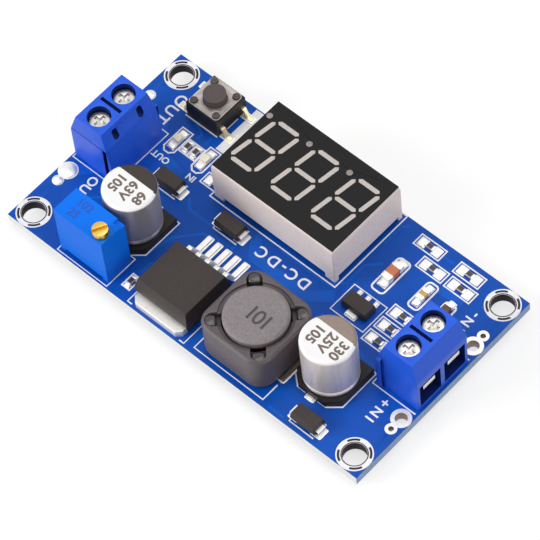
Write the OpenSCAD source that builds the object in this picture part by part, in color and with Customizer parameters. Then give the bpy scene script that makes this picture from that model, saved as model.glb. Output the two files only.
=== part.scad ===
// Step-up voltage converter board with a three digit voltmeter, a screw terminal block
// at each end, a multi-turn trimmer and a push button.
// The origin is the middle of the plane that the pin tails reach under the board.
// +X runs from the output end to the input end, +Y to the display edge and +Z up.

/* [Board] */
// Length of the circuit board
board_l = 66; // [66:0.5:90]
// Width of the circuit board
board_w = 36; // [36:0.5:50]
// Thickness of the circuit board
board_t = 1.6; // [1:0.1:2.4]
// Diameter of the corner mounting holes
hole_d = 3.5; // [2.5:0.1:3.8]
// Inset of the mounting holes from the board's edges
hole_inset = 2.65; // [2.4:0.05:3.2]
// Diameter of the holes for soldered wires
wire_hole_d = 1.8; // [1:0.1:2.2]
// Inset of the wire holes from the board's ends
wire_inset = 1.5; // [1.3:0.1:2.5]
// From the terminal blocks' sides to the wire holes
wire_gap = 2.35; // [1.8:0.05:3]
// Middle of the rows of wire holes along Y
wire_row_y = 0.3; // [-0.5:0.05:1]
// Diameter of the small holes beside the wire holes
via_d = 0.8; // [0.5:0.1:1]
// From a wire hole to the small hole beside it
via_pitch = 2.1; // [1.7:0.05:3]
// Reach of the soldered pin tails below the board
tail = 1.3; // [0.9:0.1:2.5]
// Clearance around pins in their drilled holes
drill_gap = 0.1; // [0.05:0.01:0.25]
// Diameter of the solder cones at the board
solder_d = 2; // [1.8:0.1:2.2]
// Height of the solder cones under the board
solder_h = 0.9; // [0.5:0.05:1.1]
// Height of the solder domes on the filled wire holes
dome_h = 0.45; // [0.2:0.05:0.6]
// How far the solder domes reach over the board around their holes
dome_over = 0.3; // [0.2:0.01:0.35]

/* [Terminal blocks] */
// Width of a two-way block
term_w = 10.2; // [10:0.1:12]
// Depth of a block from front to back
term_d = 7.6; // [7.4:0.1:9]
// Front of the blocks back from the board's ends
term_setback = 0.45; // [0.2:0.05:1]
// Middle of the output block along Y
out_term_y = 0.6; // [-0.5:0.05:1]
// Middle of the input block along Y
in_term_y = 0.35; // [-0.5:0.05:1]
// Spacing of the two ways
pole_pitch = 5; // [4.9:0.02:5.2]
// Height of the sloping upper part of the front
front_rise = 3.4; // [2.8:0.1:3.6]
// How far the sloping front leans back
front_lean = 1.1; // [0.6:0.05:1.4]
// Depth of the flat top
top_d = 4.95; // [4.6:0.05:5.2]
// Drop from the top to the knee in the back
knee_drop = 2.8; // [2:0.1:3]
// How far the knee stands in from the back
knee_in = 0.6; // [0.3:0.05:0.7]
// Drop from the top to the upright part of the back
back_drop = 6; // [4:0.1:7]
// Drop from the top to the seam on the sides
seam_drop = 3.1; // [2.5:0.1:4]
// Lean of the sides above the seam
side_lean = 0.35; // [0.1:0.05:0.4]
// Width of a wire chamber
chamber_w = 4.2; // [4.1:0.05:4.4]
// Thickness of the floor under the wire chambers
floor_t = 0.6; // [0.4:0.05:1]
// Height of the wire entries in the front
mouth_h = 4.8; // [4:0.1:5]
// Thickness of the front wall above the wire entries
lip_t = 0.9; // [0.6:0.05:1.2]
// Thickness of the ledge under a screw head
ledge_t = 0.5; // [0.4:0.05:0.8]
// Screw axes back from the front
screw_set = 3.6; // [3.4:0.05:3.8]
// Diameter of the screw wells in the top
well_d = 3.5; // [3.4:0.05:3.7]
// Diameter of a screw head
head_d = 3.1; // [2.9:0.05:3.2]
// Height of a screw head
head_h = 1.5; // [1.2:0.05:2]
// Depth of the screw heads below the top
head_sink = 1.05; // [0.6:0.05:2]
// Width of the cross slots in a screw head
slot_w = 0.55; // [0.4:0.05:0.8]
// Depth of the cross slots in a screw head
slot_h = 0.7; // [0.4:0.05:1]
// Diameter of the threaded screw shank
shank_d = 2.4; // [2:0.05:2.5]
// Pitch of the screw thread
thread_pitch = 0.45; // [0.35:0.05:0.5]
// Turns that close a clamp cage
clamp_turns = 3; // [2:0.5:3.5]
// Length of a clamp cage along the wire
cage_l = 3.6; // [3:0.1:3.8]
// Thickness of a cage's floor and sides
cage_wall = 0.6; // [0.4:0.05:0.65]
// Thickness of a cage's threaded top
cage_top_t = 0.95; // [0.7:0.05:1.2]
// Height of the wire space in an open cage
wire_space = 2.7; // [2:0.1:3.2]
// Width of a contact strip
contact_w = 2.4; // [2:0.05:2.5]
// Thickness of a contact strip
contact_t = 0.5; // [0.3:0.05:0.6]
// Front edge of a contact strip back from the front
contact_set = 0.2; // [0.1:0.05:0.6]
// Turned-down front lip of a contact strip
contact_lip = 0.3; // [0.2:0.05:0.9]
// Back of a contact strip from the front
contact_back = 6.25; // [6.05:0.05:6.4]
// Width of a contact's solder pin
contact_pin_w = 1; // [0.6:0.05:1.2]
// Clearance of the sliding cages and turning screws
slide_gap = 0.1; // [0.05:0.01:0.15]
// Clearance between a contact strip and the sides of its cage
contact_gap = 0.15; // [0.05:0.01:0.2]
// Width of the groove across the top between the wells
groove_w = 0.55; // [0.3:0.05:0.8]
// Depth of the groove across the top
groove_h = 0.6; // [0.3:0.05:1]
// Width of the oval openings in the back
oval_w = 1; // [0.6:0.1:1.4]
// Length of the oval openings in the back
oval_l = 1.9; // [1.4:0.1:2.4]
// Width of the dovetail that joins blocks side by side
dovetail_w = 0.8; // [0.5:0.05:1]
// How far the dovetail stands out
dovetail_t = 0.45; // [0.25:0.05:0.5]

/* [Display] */
// Length of the display shell
disp_l = 22.9; // [22.5:0.1:24]
// Width of the display shell
disp_w = 14.25; // [14:0.05:15]
// Height of the display face above the board
disp_h = 7.85; // [6.5:0.05:9]
// Middle of the display along X
disp_x = -1.18; // [-1.6:0.02:-0.8]
// Gap between the display and the boost diode
disp_gap = 1.5; // [1.1:0.05:1.8]
// Gap between the display and the far edge
disp_edge = 0.6; // [0.3:0.05:0.9]
// Bevel of the shell's top edges, across
bevel_in = 0.2; // [0.1:0.05:0.5]
// Bevel of the shell's top edges, down
bevel_h = 0.6; // [0.3:0.05:1]
// Thickness of the face plate
face_t = 0.25; // [0.15:0.05:0.4]
// Gap between the shell's rim and the board
foot_h = 0.95; // [0.7:0.05:1.2]
// Length of the corner feet along the display
foot_l = 1.9; // [1:0.1:3]
// Thickness of the shell's walls
shell_t = 0.9; // [0.6:0.05:1.2]
// Depth of the open space under the display's circuit board
shell_recess = 0.9; // [0.6:0.05:1.4]
// Thickness of the display's own circuit board
carrier_t = 1; // [0.6:0.05:1.6]
// Clearance around the display's circuit board
carrier_gap = 0.1; // [0.05:0.01:0.2]
// Number of digits
digits = 3; // [1:1:3]
// Spacing of the digits
digit_pitch = 7.52; // [7.4:0.02:7.55]
// Height of a digit between segment centres
digit_h = 8.6; // [8:0.05:8.8]
// Width of a digit between segment centres
digit_w = 4.4; // [4:0.05:4.5]
// Width of a segment
segment_w = 0.68; // [0.4:0.02:0.8]
// Gap from a segment's tip to its corner
segment_gap = 0.29; // [0.2:0.01:0.35]
// Slant of the digits in degrees
slant = 7.6; // [5:0.2:9]
// Diameter of the decimal points
dot_d = 0.95; // [0.6:0.05:1]
// Decimal point from the middle of its digit along X
dot_x = 3.03; // [2.95:0.01:3.06]
// Spacing of the two rows of display pins
pin_rows = 10.16; // [9.9:0.02:10.4]
// Spacing of the pins in a row
pin_pitch = 2.54; // [2.4:0.02:2.7]
// Pins in a row
pins_in_row = 6; // [4:1:7]
// Thickness of a display pin
pin_t = 0.5; // [0.35:0.05:0.6]

/* [Meter chip under the display] */
// Length of the chip's body
chip_l = 6.5; // [6.4:0.05:7.5]
// Width of the chip's body
chip_w = 4.4; // [4:0.05:5]
// Height of the chip
chip_h = 1; // [0.8:0.05:1.2]
// Leads on each side of the chip
chip_leads = 10; // [4:1:10]
// Spacing of the chip's leads
chip_pitch = 0.65; // [0.6:0.01:0.66]
// Width of one chip lead
chip_lead_w = 0.24; // [0.15:0.01:0.3]
// Reach of the chip's leads from its side
chip_reach = 1; // [0.8:0.05:1.3]
// Thickness of the chip's leads
chip_lead_t = 0.15; // [0.1:0.01:0.2]

/* [Push button] */
// Width of the button's base
button_w = 6; // [5.9:0.05:6.6]
// Height of the button's base
button_h = 3.3; // [3.1:0.05:4]
// Middle of the button from the output end of the board
button_from_end = 11.05; // [10.9:0.05:11.4]
// Button's far side from the far edge
button_edge = 1.2; // [0.8:0.05:1.5]
// Width of the metal cover
cover_w = 5.7; // [5.5:0.05:5.85]
// Thickness of the metal cover
cover_t = 0.25; // [0.2:0.05:0.35]
// Corner radius of the metal cover
cover_r = 0.6; // [0.3:0.05:0.9]
// Diameter of the plunger
plunger_d = 3.4; // [3:0.05:3.5]
// Height of the plunger above the cover
plunger_h = 1.25; // [0.8:0.05:3]
// Travel of the plunger
plunger_travel = 0.25; // [0.15:0.01:0.35]
// Width of the plunger's flange under the cover
flange_w = 0.35; // [0.25:0.05:0.45]
// Thickness of the plunger's flange
flange_t = 0.5; // [0.35:0.05:0.65]
// Clearance around the plunger
plunger_gap = 0.08; // [0.05:0.01:0.15]
// Diameter of the rivet posts through the cover
post_d = 1.1; // [0.8:0.05:1.2]
// Rivet posts from the button's middle, along both sides
post_set = 2.15; // [2.1:0.01:2.2]
// Height of the rivet posts above the cover
post_h = 0.2; // [0.1:0.05:0.4]
// Depth of the cup in the base
cup_h = 1.6; // [1.5:0.05:1.8]
// Height of the contact dome in the cup
spring_h = 0.5; // [0.35:0.05:0.6]
// Thickness of the contact dome
spring_t = 0.1; // [0.08:0.01:0.15]
// Spacing of the legs on one side
leg_pitch = 4.4; // [4:0.1:4.8]
// Width of a leg
leg_w = 0.7; // [0.5:0.05:0.9]
// Thickness of a leg
leg_t = 0.25; // [0.15:0.05:0.35]
// Height at which the legs leave the base
leg_rise = 1.45; // [1:0.05:2]
// Reach of the legs from the base
leg_reach = 1.9; // [1.4:0.05:2]

/* [Trimmer] */
// Length of the trimmer
trimmer_l = 9.2; // [8.9:0.1:9.6]
// Width of the trimmer
trimmer_w = 4.7; // [4.5:0.05:5]
// Height of the trimmer
trimmer_h = 9.7; // [8:0.1:11]
// Gap between the trimmer and the regulator
trimmer_gap = 4.4; // [3.8:0.05:4.8]
// Trimmer's near side from the near edge
trimmer_edge = 0.9; // [0.5:0.05:1.2]
// Height of the trimmer's standoff rails
rail_h = 0.5; // [0.3:0.05:0.8]
// Length of the trimmer's standoff rails
rail_l = 1; // [0.6:0.05:1.4]
// Diameter of the adjusting screw's head
adjuster_d = 2.35; // [2:0.05:2.6]
// Height of the adjusting screw's head
adjuster_h = 1.2; // [0.8:0.05:1.6]
// Width of the slot in the adjusting screw's head
adjuster_slot = 0.55; // [0.4:0.05:0.8]
// Depth of the slot in the adjusting screw's head
adjuster_slot_h = 0.6; // [0.4:0.05:0.7]
// Turn of the slot from the trimmer's length, in degrees
adjuster_turn = 62; // [0:1:180]
// Diameter of the adjusting screw's shaft
shaft_d = 1.8; // [1.4:0.05:1.9]
// Depth of the shaft in the trimmer
shaft_h = 2.6; // [2:0.1:4]
// Clearance of the shaft in its bore
shaft_gap = 0.05; // [0.02:0.01:0.09]
// Adjusting screw from the trimmer's end
adjuster_end = 1.35; // [1.25:0.05:2]
// Adjusting screw from the trimmer's near side
adjuster_side = 1.4; // [1.3:0.05:2.4]
// Corner notch in the top, along the trimmer
notch_l = 1.3; // [0.6:0.1:1.8]
// Corner notch in the top, across the trimmer
notch_w = 1; // [0.6:0.1:1.4]
// Depth of the corner notch
notch_h = 0.5; // [0.3:0.05:1]
// Spacing of the trimmer's pins
trimmer_pitch = 2.54; // [2.4:0.02:2.7]
// Diameter of the trimmer's pins
trimmer_pin_d = 0.5; // [0.4:0.05:0.7]

/* [Electrolytic capacitors] */
// Diameter of a can
can_d = 8; // [7.6:0.05:8.1]
// Height of a capacitor above the board
cap_h = 10.1; // [6:0.1:12]
// Rounding of the can's top edge
can_r = 0.5; // [0.3:0.05:0.9]
// Depth of the crimp near the can's foot
crimp_t = 0.25; // [0.15:0.05:0.4]
// Height of the crimp above the base
crimp_z = 0.9; // [0.8:0.05:1.4]
// Width of the square base
base_w = 8.3; // [8.25:0.05:8.6]
// Thickness of the base
base_h = 1.25; // [0.8:0.05:1.6]
// Corner cut on the base
base_cut = 1.75; // [1:0.05:2]
// Width of a capacitor lead
cap_lead_w = 0.8; // [0.6:0.05:1.2]
// Thickness of a capacitor lead
cap_lead_t = 0.2; // [0.1:0.05:0.3]
// Reach of the leads beyond the base
cap_lead_out = 0.35; // [0.2:0.01:0.4]
// Gap between the two leads of a capacitor
cap_lead_gap = 3.1; // [2:0.1:4]
// Gap between the output terminal block and the output capacitor
out_cap_gap = 3.3; // [2.8:0.05:3.8]
// Gap between the trimmer and the output capacitor
out_cap_rise = 0.45; // [0.4:0.01:0.8]
// Gap between the inductor's terminal and the input capacitor
in_cap_gap = 0.33; // [0.2:0.01:0.5]
// Gap between the input capacitor and the input terminal block
in_cap_back = 0.85; // [0.5:0.05:1.2]
// Gap between the input diode and the input capacitor
in_cap_rise = 2.05; // [1:0.05:2.5]

/* [Regulator] */
// Width of the regulator
reg_w = 10.1; // [9.6:0.05:10.5]
// Length of the moulded body
reg_l = 9.1; // [8.6:0.05:9.4]
// Height of the regulator
reg_h = 4.5; // [4:0.05:4.8]
// Height of the mould line where the leads come out
reg_mid = 2.4; // [2.1:0.05:2.7]
// Draft of the moulded sides
reg_draft = 0.5; // [0.2:0.05:0.7]
// Thickness of the metal tab
tab_t = 1.3; // [1:0.05:1.5]
// How far the tab stands out of the mould
tab_out = 1.25; // [0.8:0.05:1.5]
// Corner cut on the tab
tab_cut = 0.8; // [0.4:0.05:1]
// Number of leads
reg_leads = 5; // [3:2:5]
// Spacing of the leads
reg_pitch = 1.7; // [1.5:0.02:1.8]
// Width of a lead
reg_lead_w = 0.8; // [0.5:0.05:1]
// Thickness of a lead
reg_lead_t = 0.5; // [0.35:0.05:0.6]
// Reach of the leads from the mould
reg_reach = 4.6; // [4:0.05:5]
// Length of a lead's foot on the board
reg_foot = 3.2; // [1.5:0.05:3.3]
// Gap between the tab and the near edge
reg_edge = 0.5; // [0.2:0.05:0.9]
// Gap between the output capacitor and the regulator
reg_gap = 3.7; // [3:0.05:4.4]

/* [Inductor] */
// Width of the square shield
shield_w = 12.2; // [11.8:0.05:12.5]
// Corner radius of the shield
shield_r = 2.6; // [1.5:0.05:3]
// Height of the shield's top above the board
shield_h = 7; // [5.5:0.05:8]
// Diameter of the shield's bore
shield_bore = 9.8; // [9.4:0.05:10.2]
// Diameter of the step in the shield's top
step_d = 10.9; // [10.4:0.05:11.2]
// Depth of the step in the shield's top
step_h = 0.4; // [0.2:0.05:0.8]
// Width of the corner slots in the shield's top
pocket_d = 2.2; // [1.5:0.05:2.4]
// Depth of the corner slots
pocket_h = 1.3; // [0.6:0.05:1.6]
// Wall left outside the corner slots
pocket_wall = 0.45; // [0.3:0.05:0.8]
// Bevel of the shield's top edge
shield_bevel = 0.35; // [0.2:0.05:0.5]
// Diameter of the drum core's flanges
drum_d = 9.4; // [8.8:0.05:9.6]
// Bevel of the drum core's top edge, across
drum_bevel_in = 0.4; // [0.2:0.05:0.6]
// Bevel of the drum core's top edge, down
drum_bevel_h = 0.25; // [0.1:0.05:0.5]
// Diameter of the drum core's post
post_core_d = 5; // [4:0.05:6]
// Thickness of the drum core's flanges
drum_t = 1.25; // [0.8:0.05:1.5]
// How far the drum core stands above the shield
drum_rise = 0.5; // [0.2:0.05:0.8]
// Winding set in from the drum's rim
winding_in = 0.2; // [0.1:0.05:0.4]
// Clearance between the winding and the post
winding_gap = 0.05; // [0.03:0.01:0.1]
// Thickness of the inductor's base
ind_base_h = 0.8; // [0.5:0.05:1.2]
// Base set in from the shield's sides
ind_base_in = 0.4; // [0.2:0.05:0.8]
// Width of an inductor terminal
ind_term_w = 5.2; // [4:0.1:6]
// Length of an inductor terminal
ind_term_l = 3.2; // [2.4:0.05:3.6]
// Thickness of an inductor terminal
ind_term_t = 0.25; // [0.15:0.05:0.4]
// Reach of the terminals beyond the shield
ind_term_out = 0.65; // [0.4:0.01:0.8]
// Gap between the regulator and the inductor's terminal
ind_gap = 1.52; // [1.1:0.01:2]
// Inductor's near side from the near edge
ind_edge = 1.26; // [0.8:0.02:1.6]

/* [Power diodes] */
// Length of a diode's body
diode_l = 4.3; // [4:0.05:4.6]
// Width of a diode's body
diode_w = 2.6; // [2.4:0.05:2.9]
// Height of a diode
diode_h = 2.1; // [1.9:0.05:2.4]
// Height of a diode's mould line
diode_mid = 1.1; // [1:0.05:1.3]
// Draft of a diode's long sides
diode_draft = 0.3; // [0.1:0.05:0.4]
// Width of a diode lead
diode_lead_w = 1.45; // [1:0.05:1.7]
// Thickness of a diode lead
diode_lead_t = 0.2; // [0.12:0.02:0.24]
// Reach of the leads beyond the body
diode_reach = 0.5; // [0.3:0.05:0.6]
// Length of a lead's turned-in foot
diode_foot = 1.2; // [0.8:0.05:1.4]
// Gap between the regulator's feet and the boost diode
diode_gap = 1.6; // [1.2:0.05:2]
// Boost diode from the regulator's middle along X
boost_diode_dx = -2.15; // [-3:0.05:0]
// Output diode from the output capacitor's middle along X
out_diode_dx = -1.1; // [-1.6:0.05:0]
// Input diode from the input end of the board
in_diode_from_end = 10.65; // [9:0.05:11.5]
// Input diode's near side from the near edge
in_diode_edge = 0.85; // [0.5:0.05:1.2]

/* [Auxiliary regulator] */
// Width of its body
aux_w = 4.5; // [4.2:0.05:4.8]
// Depth of its body
aux_d = 2.5; // [2.3:0.05:2.8]
// Height of its body
aux_h = 1.5; // [1.3:0.05:1.7]
// Draft of its sides
aux_draft = 0.15; // [0.05:0.01:0.25]
// Spacing of its leads
aux_pitch = 1.5; // [1.4:0.02:1.6]
// Width of its outer leads
aux_lead_w = 0.5; // [0.35:0.05:0.65]
// Width of its middle tab
aux_tab_w = 1.7; // [1.4:0.05:2]
// Thickness of its leads
aux_lead_t = 0.4; // [0.3:0.05:0.5]
// Reach of its leads
aux_reach = 1; // [0.7:0.05:1.2]
// Reach of its tab
aux_tab_out = 0.7; // [0.4:0.05:1]
// Gap between the display's end and its body
aux_gap = 2.93; // [2.4:0.01:3.4]
// Its middle along Y
aux_y = 2.25; // [1.8:0.05:2.6]

/* [Chip parts] */
// Length of a chip resistor
res_l = 1.6; // [1.5:0.05:1.8]
// Width of a chip resistor
res_w = 0.8; // [0.7:0.05:0.95]
// Height of a chip resistor
res_h = 0.5; // [0.4:0.05:0.6]
// Length of a chip part's metal ends
end_l = 0.32; // [0.2:0.02:0.4]
// How far the metal ends stand proud
end_t = 0.03; // [0.02:0.01:0.05]
// Length of the large ceramic capacitor
ceramic_l = 3.2; // [3:0.05:3.4]
// Width of the large ceramic capacitor
ceramic_w = 1.6; // [1.5:0.05:1.8]
// Height of the large ceramic capacitor
ceramic_h = 1.2; // [0.8:0.05:1.6]
// Length of the small ceramic capacitors
small_ceramic_l = 2; // [1.8:0.05:2.2]
// Width of the small ceramic capacitors
small_ceramic_w = 1.25; // [1.1:0.05:1.4]
// Height of the small ceramic capacitors
small_ceramic_h = 0.9; // [0.6:0.05:1.2]
// Length of an indicator light
light_l = 2; // [1.8:0.05:2.2]
// Width of an indicator light
light_w = 1.25; // [1.1:0.05:1.35]
// Thickness of an indicator light's base
light_base_h = 0.35; // [0.2:0.05:0.5]
// Height of an indicator light's lens
lens_h = 0.5; // [0.3:0.05:0.7]
// Length of an indicator light's lens
lens_l = 1.3; // [1:0.05:1.4]
// Lean of the lens's ends
lens_lean = 0.15; // [0.05:0.05:0.25]
// Indicator row from the far edge
light_row = 11.3; // [10.8:0.05:11.6]
// Resistor row along the far edge
edge_row = 1.93; // [1.2:0.02:2.1]
// Second resistor row from the far edge
second_row = 4.5; // [4.2:0.05:4.8]
// Gap between the auxiliary regulator and the resistor column
column_gap = 2.7; // [2.2:0.05:3.2]
// Gap between the resistor column and the input terminal block
column_back = 2.95; // [2.4:0.05:3.4]
// Lowest resistor of the column along Y
column_y = -0.15; // [-0.6:0.05:0.2]
// Spacing of the resistors in the column
column_pitch = 2.58; // [2.3:0.02:2.8]
// Ceramic capacitor row from the far edge
ceramic_row = 8.6; // [8.3:0.05:8.9]
// Large ceramic capacitor from the input end
ceramic_from_end = 17.6; // [17:0.05:18]
// First small ceramic capacitor from the input end
small_ceramic_from_end = 8; // [7.4:0.05:9]
// Spacing of the small ceramic capacitors
small_ceramic_pitch = 4; // [3:0.05:4.4]
// First resistor of the edge row from the input end
edge_row_from_end = 9.3; // [8.6:0.05:10]
// Spacing of the resistors in the edge row
edge_row_pitch = 7.2; // [5:0.05:7.6]
// First resistor of the second row from the input end
second_row_from_end = 8.7; // [8:0.05:9.4]
// Spacing of the resistors in the second row
second_row_pitch = 5.15; // [4:0.05:6]
// First indicator light from the output end
light_from_end = 10; // [9.6:0.01:10.4]
// Spacing of the indicator lights
light_pitch = 5.43; // [5.2:0.01:5.8]
// First resistor between the lights from the first light
light_resistor_gap = 1.95; // [1.7:0.05:2.2]
// Spacing of the resistors between the lights
light_resistor_pitch = 1.55; // [1.2:0.05:1.8]
// Gap between the regulator and the resistor beside it
sense_gap = 1.65; // [1:0.05:2.2]
// Resistor beside the regulator from the near edge
sense_edge = 3.1; // [2:0.05:4]
// Gap between the display and the resistor at its corner
corner_gap = 0.1; // [0.05:0.05:0.6]
// Resistor at the display's corner, in from the display's near side
corner_in = 1.4; // [1:0.05:2]

/* [Hidden] */
$fn = 64;

// How far cutting shapes run past the faces that they cut
cut = 1;

// Edges of the board and the level of its upper face
left = -board_l / 2;
right = board_l / 2;
near = -board_w / 2;
far = board_w / 2;
deck = tail + board_t;
out_block_back = left + term_setback + term_d;
in_block_back = right - term_setback - term_d;

// Gaps share out what the parts leave of the board: across it, along its near row, and
// between the display and the input block
reg_span = tab_out + reg_l + reg_reach;
ind_span = shield_w + 2 * ind_term_out;
spare_w = board_w - reg_span - diode_w - disp_w;
stretch_w = spare_w / (reg_edge + diode_gap + disp_gap + disp_edge);
spare_l = in_block_back - out_block_back - 2 * base_w - reg_w - ind_span;
stretch_l = spare_l / (out_cap_gap + reg_gap + ind_gap + in_cap_gap + in_cap_back);
spare_side = in_block_back - disp_x - disp_l / 2 - aux_w - res_l;
stretch_side = spare_side / (aux_gap + column_gap + column_back);

// Heights inside a terminal block, above the board
clamp_travel = clamp_turns * thread_pitch;
cage_z = floor_t + slide_gap;
cage_floor = cage_z + cage_wall;
strip_z = cage_floor + wire_space;
strip_top = strip_z + contact_t;
cage_roof = strip_top + slide_gap;
cage_top = cage_roof + cage_top_t;
chamber_roof = cage_top + clamp_travel + slide_gap;
ledge_top = chamber_roof + ledge_t;
head_z = ledge_top + slide_gap / 2;
term_h = head_z + head_h + head_sink;
shank_z = strip_top + slide_gap / 2;
chamber_d = contact_back + slide_gap;
cage_in_w = contact_w + 2 * contact_gap;
cage_w = cage_in_w + 2 * cage_wall;
contact_pin_x = -contact_back + contact_t / 2;
dovetail_x = -term_d + knee_in + dovetail_w / 2;
seam_z = term_h - seam_drop;
wire_y = term_w / 2 + wire_gap;

// Display
disp_y = far - stretch_w * disp_edge - disp_w / 2;
shell_top = disp_h - face_t;
face_l = disp_l - 2 * bevel_in;
face_w = disp_w - 2 * bevel_in;
carrier_z = foot_h + shell_recess;
bar_x = digit_w - 2 * segment_gap;
bar_y = digit_h / 2 - 2 * segment_gap;
chip_mid = chip_h / 2;

// Button, from its cup floor up
button_x = left + button_from_end;
button_y = far - button_edge - button_w / 2;
cup_z = button_h - cup_h;
cup_d = plunger_d + 2 * flange_w + 4 * plunger_gap;
flange_z = button_h - plunger_gap / 2 - flange_t;
plunger_foot = cup_z + spring_h + plunger_travel + plunger_gap / 2;
spring_r = cup_d / 2 - plunger_gap;
spring_ball = (spring_r * spring_r + spring_h * spring_h) / (2 * spring_h);

// Near row, from the output block to the input block
out_cap_x = out_block_back + stretch_l * out_cap_gap + base_w / 2;
reg_x = out_cap_x + base_w / 2 + stretch_l * reg_gap + reg_w / 2;
ind_x = reg_x + reg_w / 2 + stretch_l * ind_gap + ind_span / 2;
in_cap_x = ind_x + ind_span / 2 + stretch_l * in_cap_gap + base_w / 2;
trimmer_x = reg_x - reg_w / 2 - trimmer_gap - trimmer_l / 2;
trimmer_y = near + trimmer_edge + trimmer_w / 2;
adjuster_x = trimmer_l / 2 - adjuster_end;
adjuster_y = -trimmer_w / 2 + adjuster_side;
out_cap_y = trimmer_y + trimmer_w / 2 + out_cap_rise + base_w / 2;
mould_y = near + stretch_w * reg_edge + tab_out + reg_l / 2;
ind_y = near + ind_edge + shield_w / 2;
drum_top = shield_h + drum_rise;
in_diode_x = right - in_diode_from_end;
in_diode_y = near + in_diode_edge + diode_w / 2;
in_cap_y = in_diode_y + diode_w / 2 + in_cap_rise + base_w / 2;

// Middle row, between the regulator's feet and the display
diode_row_y = mould_y + reg_l / 2 + reg_reach + stretch_w * diode_gap + diode_w / 2;
boost_diode_x = reg_x + boost_diode_dx;
out_diode_x = out_cap_x + out_diode_dx;
aux_x = disp_x + disp_l / 2 + stretch_side * aux_gap + aux_w / 2;
column_x = aux_x + aux_w / 2 + stretch_side * column_gap + res_l / 2;

// Chip parts: each spot is x, y and the turn about Z
light_x = left + light_from_end;
light_y = far - light_row;
sense_x = reg_x - reg_w / 2 - sense_gap - res_w / 2;
corner_x = disp_x - disp_l / 2 - corner_gap - res_l / 2;
corner_y = disp_y - disp_w / 2 + corner_in;
resistor_spots = concat(
    [for (i = [0:1]) [right - edge_row_from_end - i * edge_row_pitch, far - edge_row, 0]],
    [for (i = [0:1]) [right - second_row_from_end - i * second_row_pitch, far - second_row, 0]],
    [for (i = [0:2]) [column_x, column_y + i * column_pitch, 0]],
    [for (i = [0:1]) [light_x + light_resistor_gap + i * light_resistor_pitch, light_y, 90]],
    [[sense_x, near + sense_edge, 90], [corner_x, corner_y, 0]]);
large_ceramic_spots = [[right - ceramic_from_end, far - ceramic_row, 90]];
small_ceramic_spots = [
    for (i = [0:1]) [right - small_ceramic_from_end - i * small_ceramic_pitch, far - ceramic_row, 90]];
light_spots = [for (i = [0:1]) [light_x + i * light_pitch, light_y, 90]];

// Shared shapes

// A block centred in x and y that stands on z = 0
module block(l, w, h) {
    translate([-l / 2, -w / 2, 0]) cube([l, w, h]);
}

// Stretches a profile drawn in x and z along y, about y = 0
module along_y(w) {
    rotate([90, 0, 0]) translate([0, 0, -w / 2]) linear_extrude(w) children();
}

// Stretches a profile drawn in y and z along x, about x = 0
module along_x(l) {
    rotate([90, 0, 90]) translate([0, 0, -l / 2]) linear_extrude(l) children();
}

// A rectangle with round corners
module rounded(l, w, r) {
    square([l - 2 * r, w], center = true);
    square([l, w - 2 * r], center = true);
    for (x = [-1, 1], y = [-1, 1]) translate([x * (l / 2 - r), y * (w / 2 - r)]) circle(r);
}

// Section of a moulded body that is widest at its mould line
function barrel(w, low, mid, high, draft) = [
    [-w / 2 + draft, low], [w / 2 - draft, low], [w / 2, mid],
    [w / 2 - draft, high], [-w / 2 + draft, high], [-w / 2, mid]];

// A moulded body with draft on all four sides
module moulded(l, w, low, mid, high, end_draft, side_draft) {
    intersection() {
        along_y(w) polygon(barrel(l, low, mid, high, end_draft));
        along_x(l) polygon(barrel(w, low, mid, high, side_draft));
    }
}

// Section of a lead that comes out of a side at z = rise and bends down to a foot
function gull(inside, reach, foot, rise, t) = [
    [-inside, rise], [reach - foot - rise / 2, rise], [reach - foot, 0], [reach, 0],
    [reach, t], [reach - foot + t, t], [reach - foot - rise / 2 + t, rise + t], [-inside, rise + t]];

// Places a part on the board
module at(x, y, turn = 0) {
    translate([x, y, deck]) rotate(turn) children();
}

// Circuit board

// A hole for a pin, drilled down from the board's upper face
module pin_drill(d) {
    translate([0, 0, -board_t - cut]) cylinder(d = d + 2 * drill_gap, h = board_t + 2 * cut);
}

module wire_holes(end) {
    for (side = [-1, 1]) {
        translate([end * (board_l / 2 - wire_inset), wire_row_y + side * wire_y, 0]) {
            cylinder(d = wire_hole_d, h = deck + cut);
            translate([0, side * via_pitch, 0]) cylinder(d = via_d, h = deck + cut);
        }
    }
}

module circuit_board() {
    pin_diagonal = norm([contact_pin_w, contact_t]);
    color("#0b4fb8") difference() {
        translate([0, 0, tail]) block(board_l, board_w, board_t);
        for (x = [-1, 1], y = [-1, 1])
            translate([x * (board_l / 2 - hole_inset), y * (board_w / 2 - hole_inset), 0])
                cylinder(d = hole_d, h = deck + cut);
        wire_holes(-1);
        wire_holes(1);
        at_contact_pins() pin_drill(pin_diagonal);
        at_display_pins() pin_drill(pin_t * sqrt(2));
        at_trimmer_pins() pin_drill(trimmer_pin_d);
    }
}

module solder_cone() {
    translate([0, 0, -board_t - solder_h])
        cylinder(d1 = solder_d / 2, d2 = solder_d, h = solder_h);
}

module tail_solder() {
    color("#c9ccd0") {
        difference() {
            at_contact_pins() solder_cone();
            out_contacts();
            in_contacts();
        }
        difference() {
            at_display_pins() solder_cone();
            display_pins();
        }
        difference() {
            at_trimmer_pins() solder_cone();
            trimmer_pins();
        }
    }
}

// A solder plug that fills a hole and stands above the board as a low dome
module solder_plug(d) {
    rim = d / 2 + dome_over;
    ball = (rim * rim + dome_h * dome_h) / (2 * dome_h);
    translate([0, 0, -board_t]) cylinder(d = d - drill_gap / 2, h = board_t);
    intersection() {
        translate([0, 0, dome_h - ball]) sphere(ball);
        cylinder(r = rim, h = dome_h);
    }
}

module wire_solder() {
    color("#d3d5d8") for (side = [-1, 1])
        at(left + wire_inset, wire_row_y + side * wire_y) {
            solder_plug(wire_hole_d);
            translate([0, side * via_pitch, 0]) solder_plug(via_d);
        }
}

// Terminal blocks: drawn with the front at x = 0 looking along +X

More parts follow.
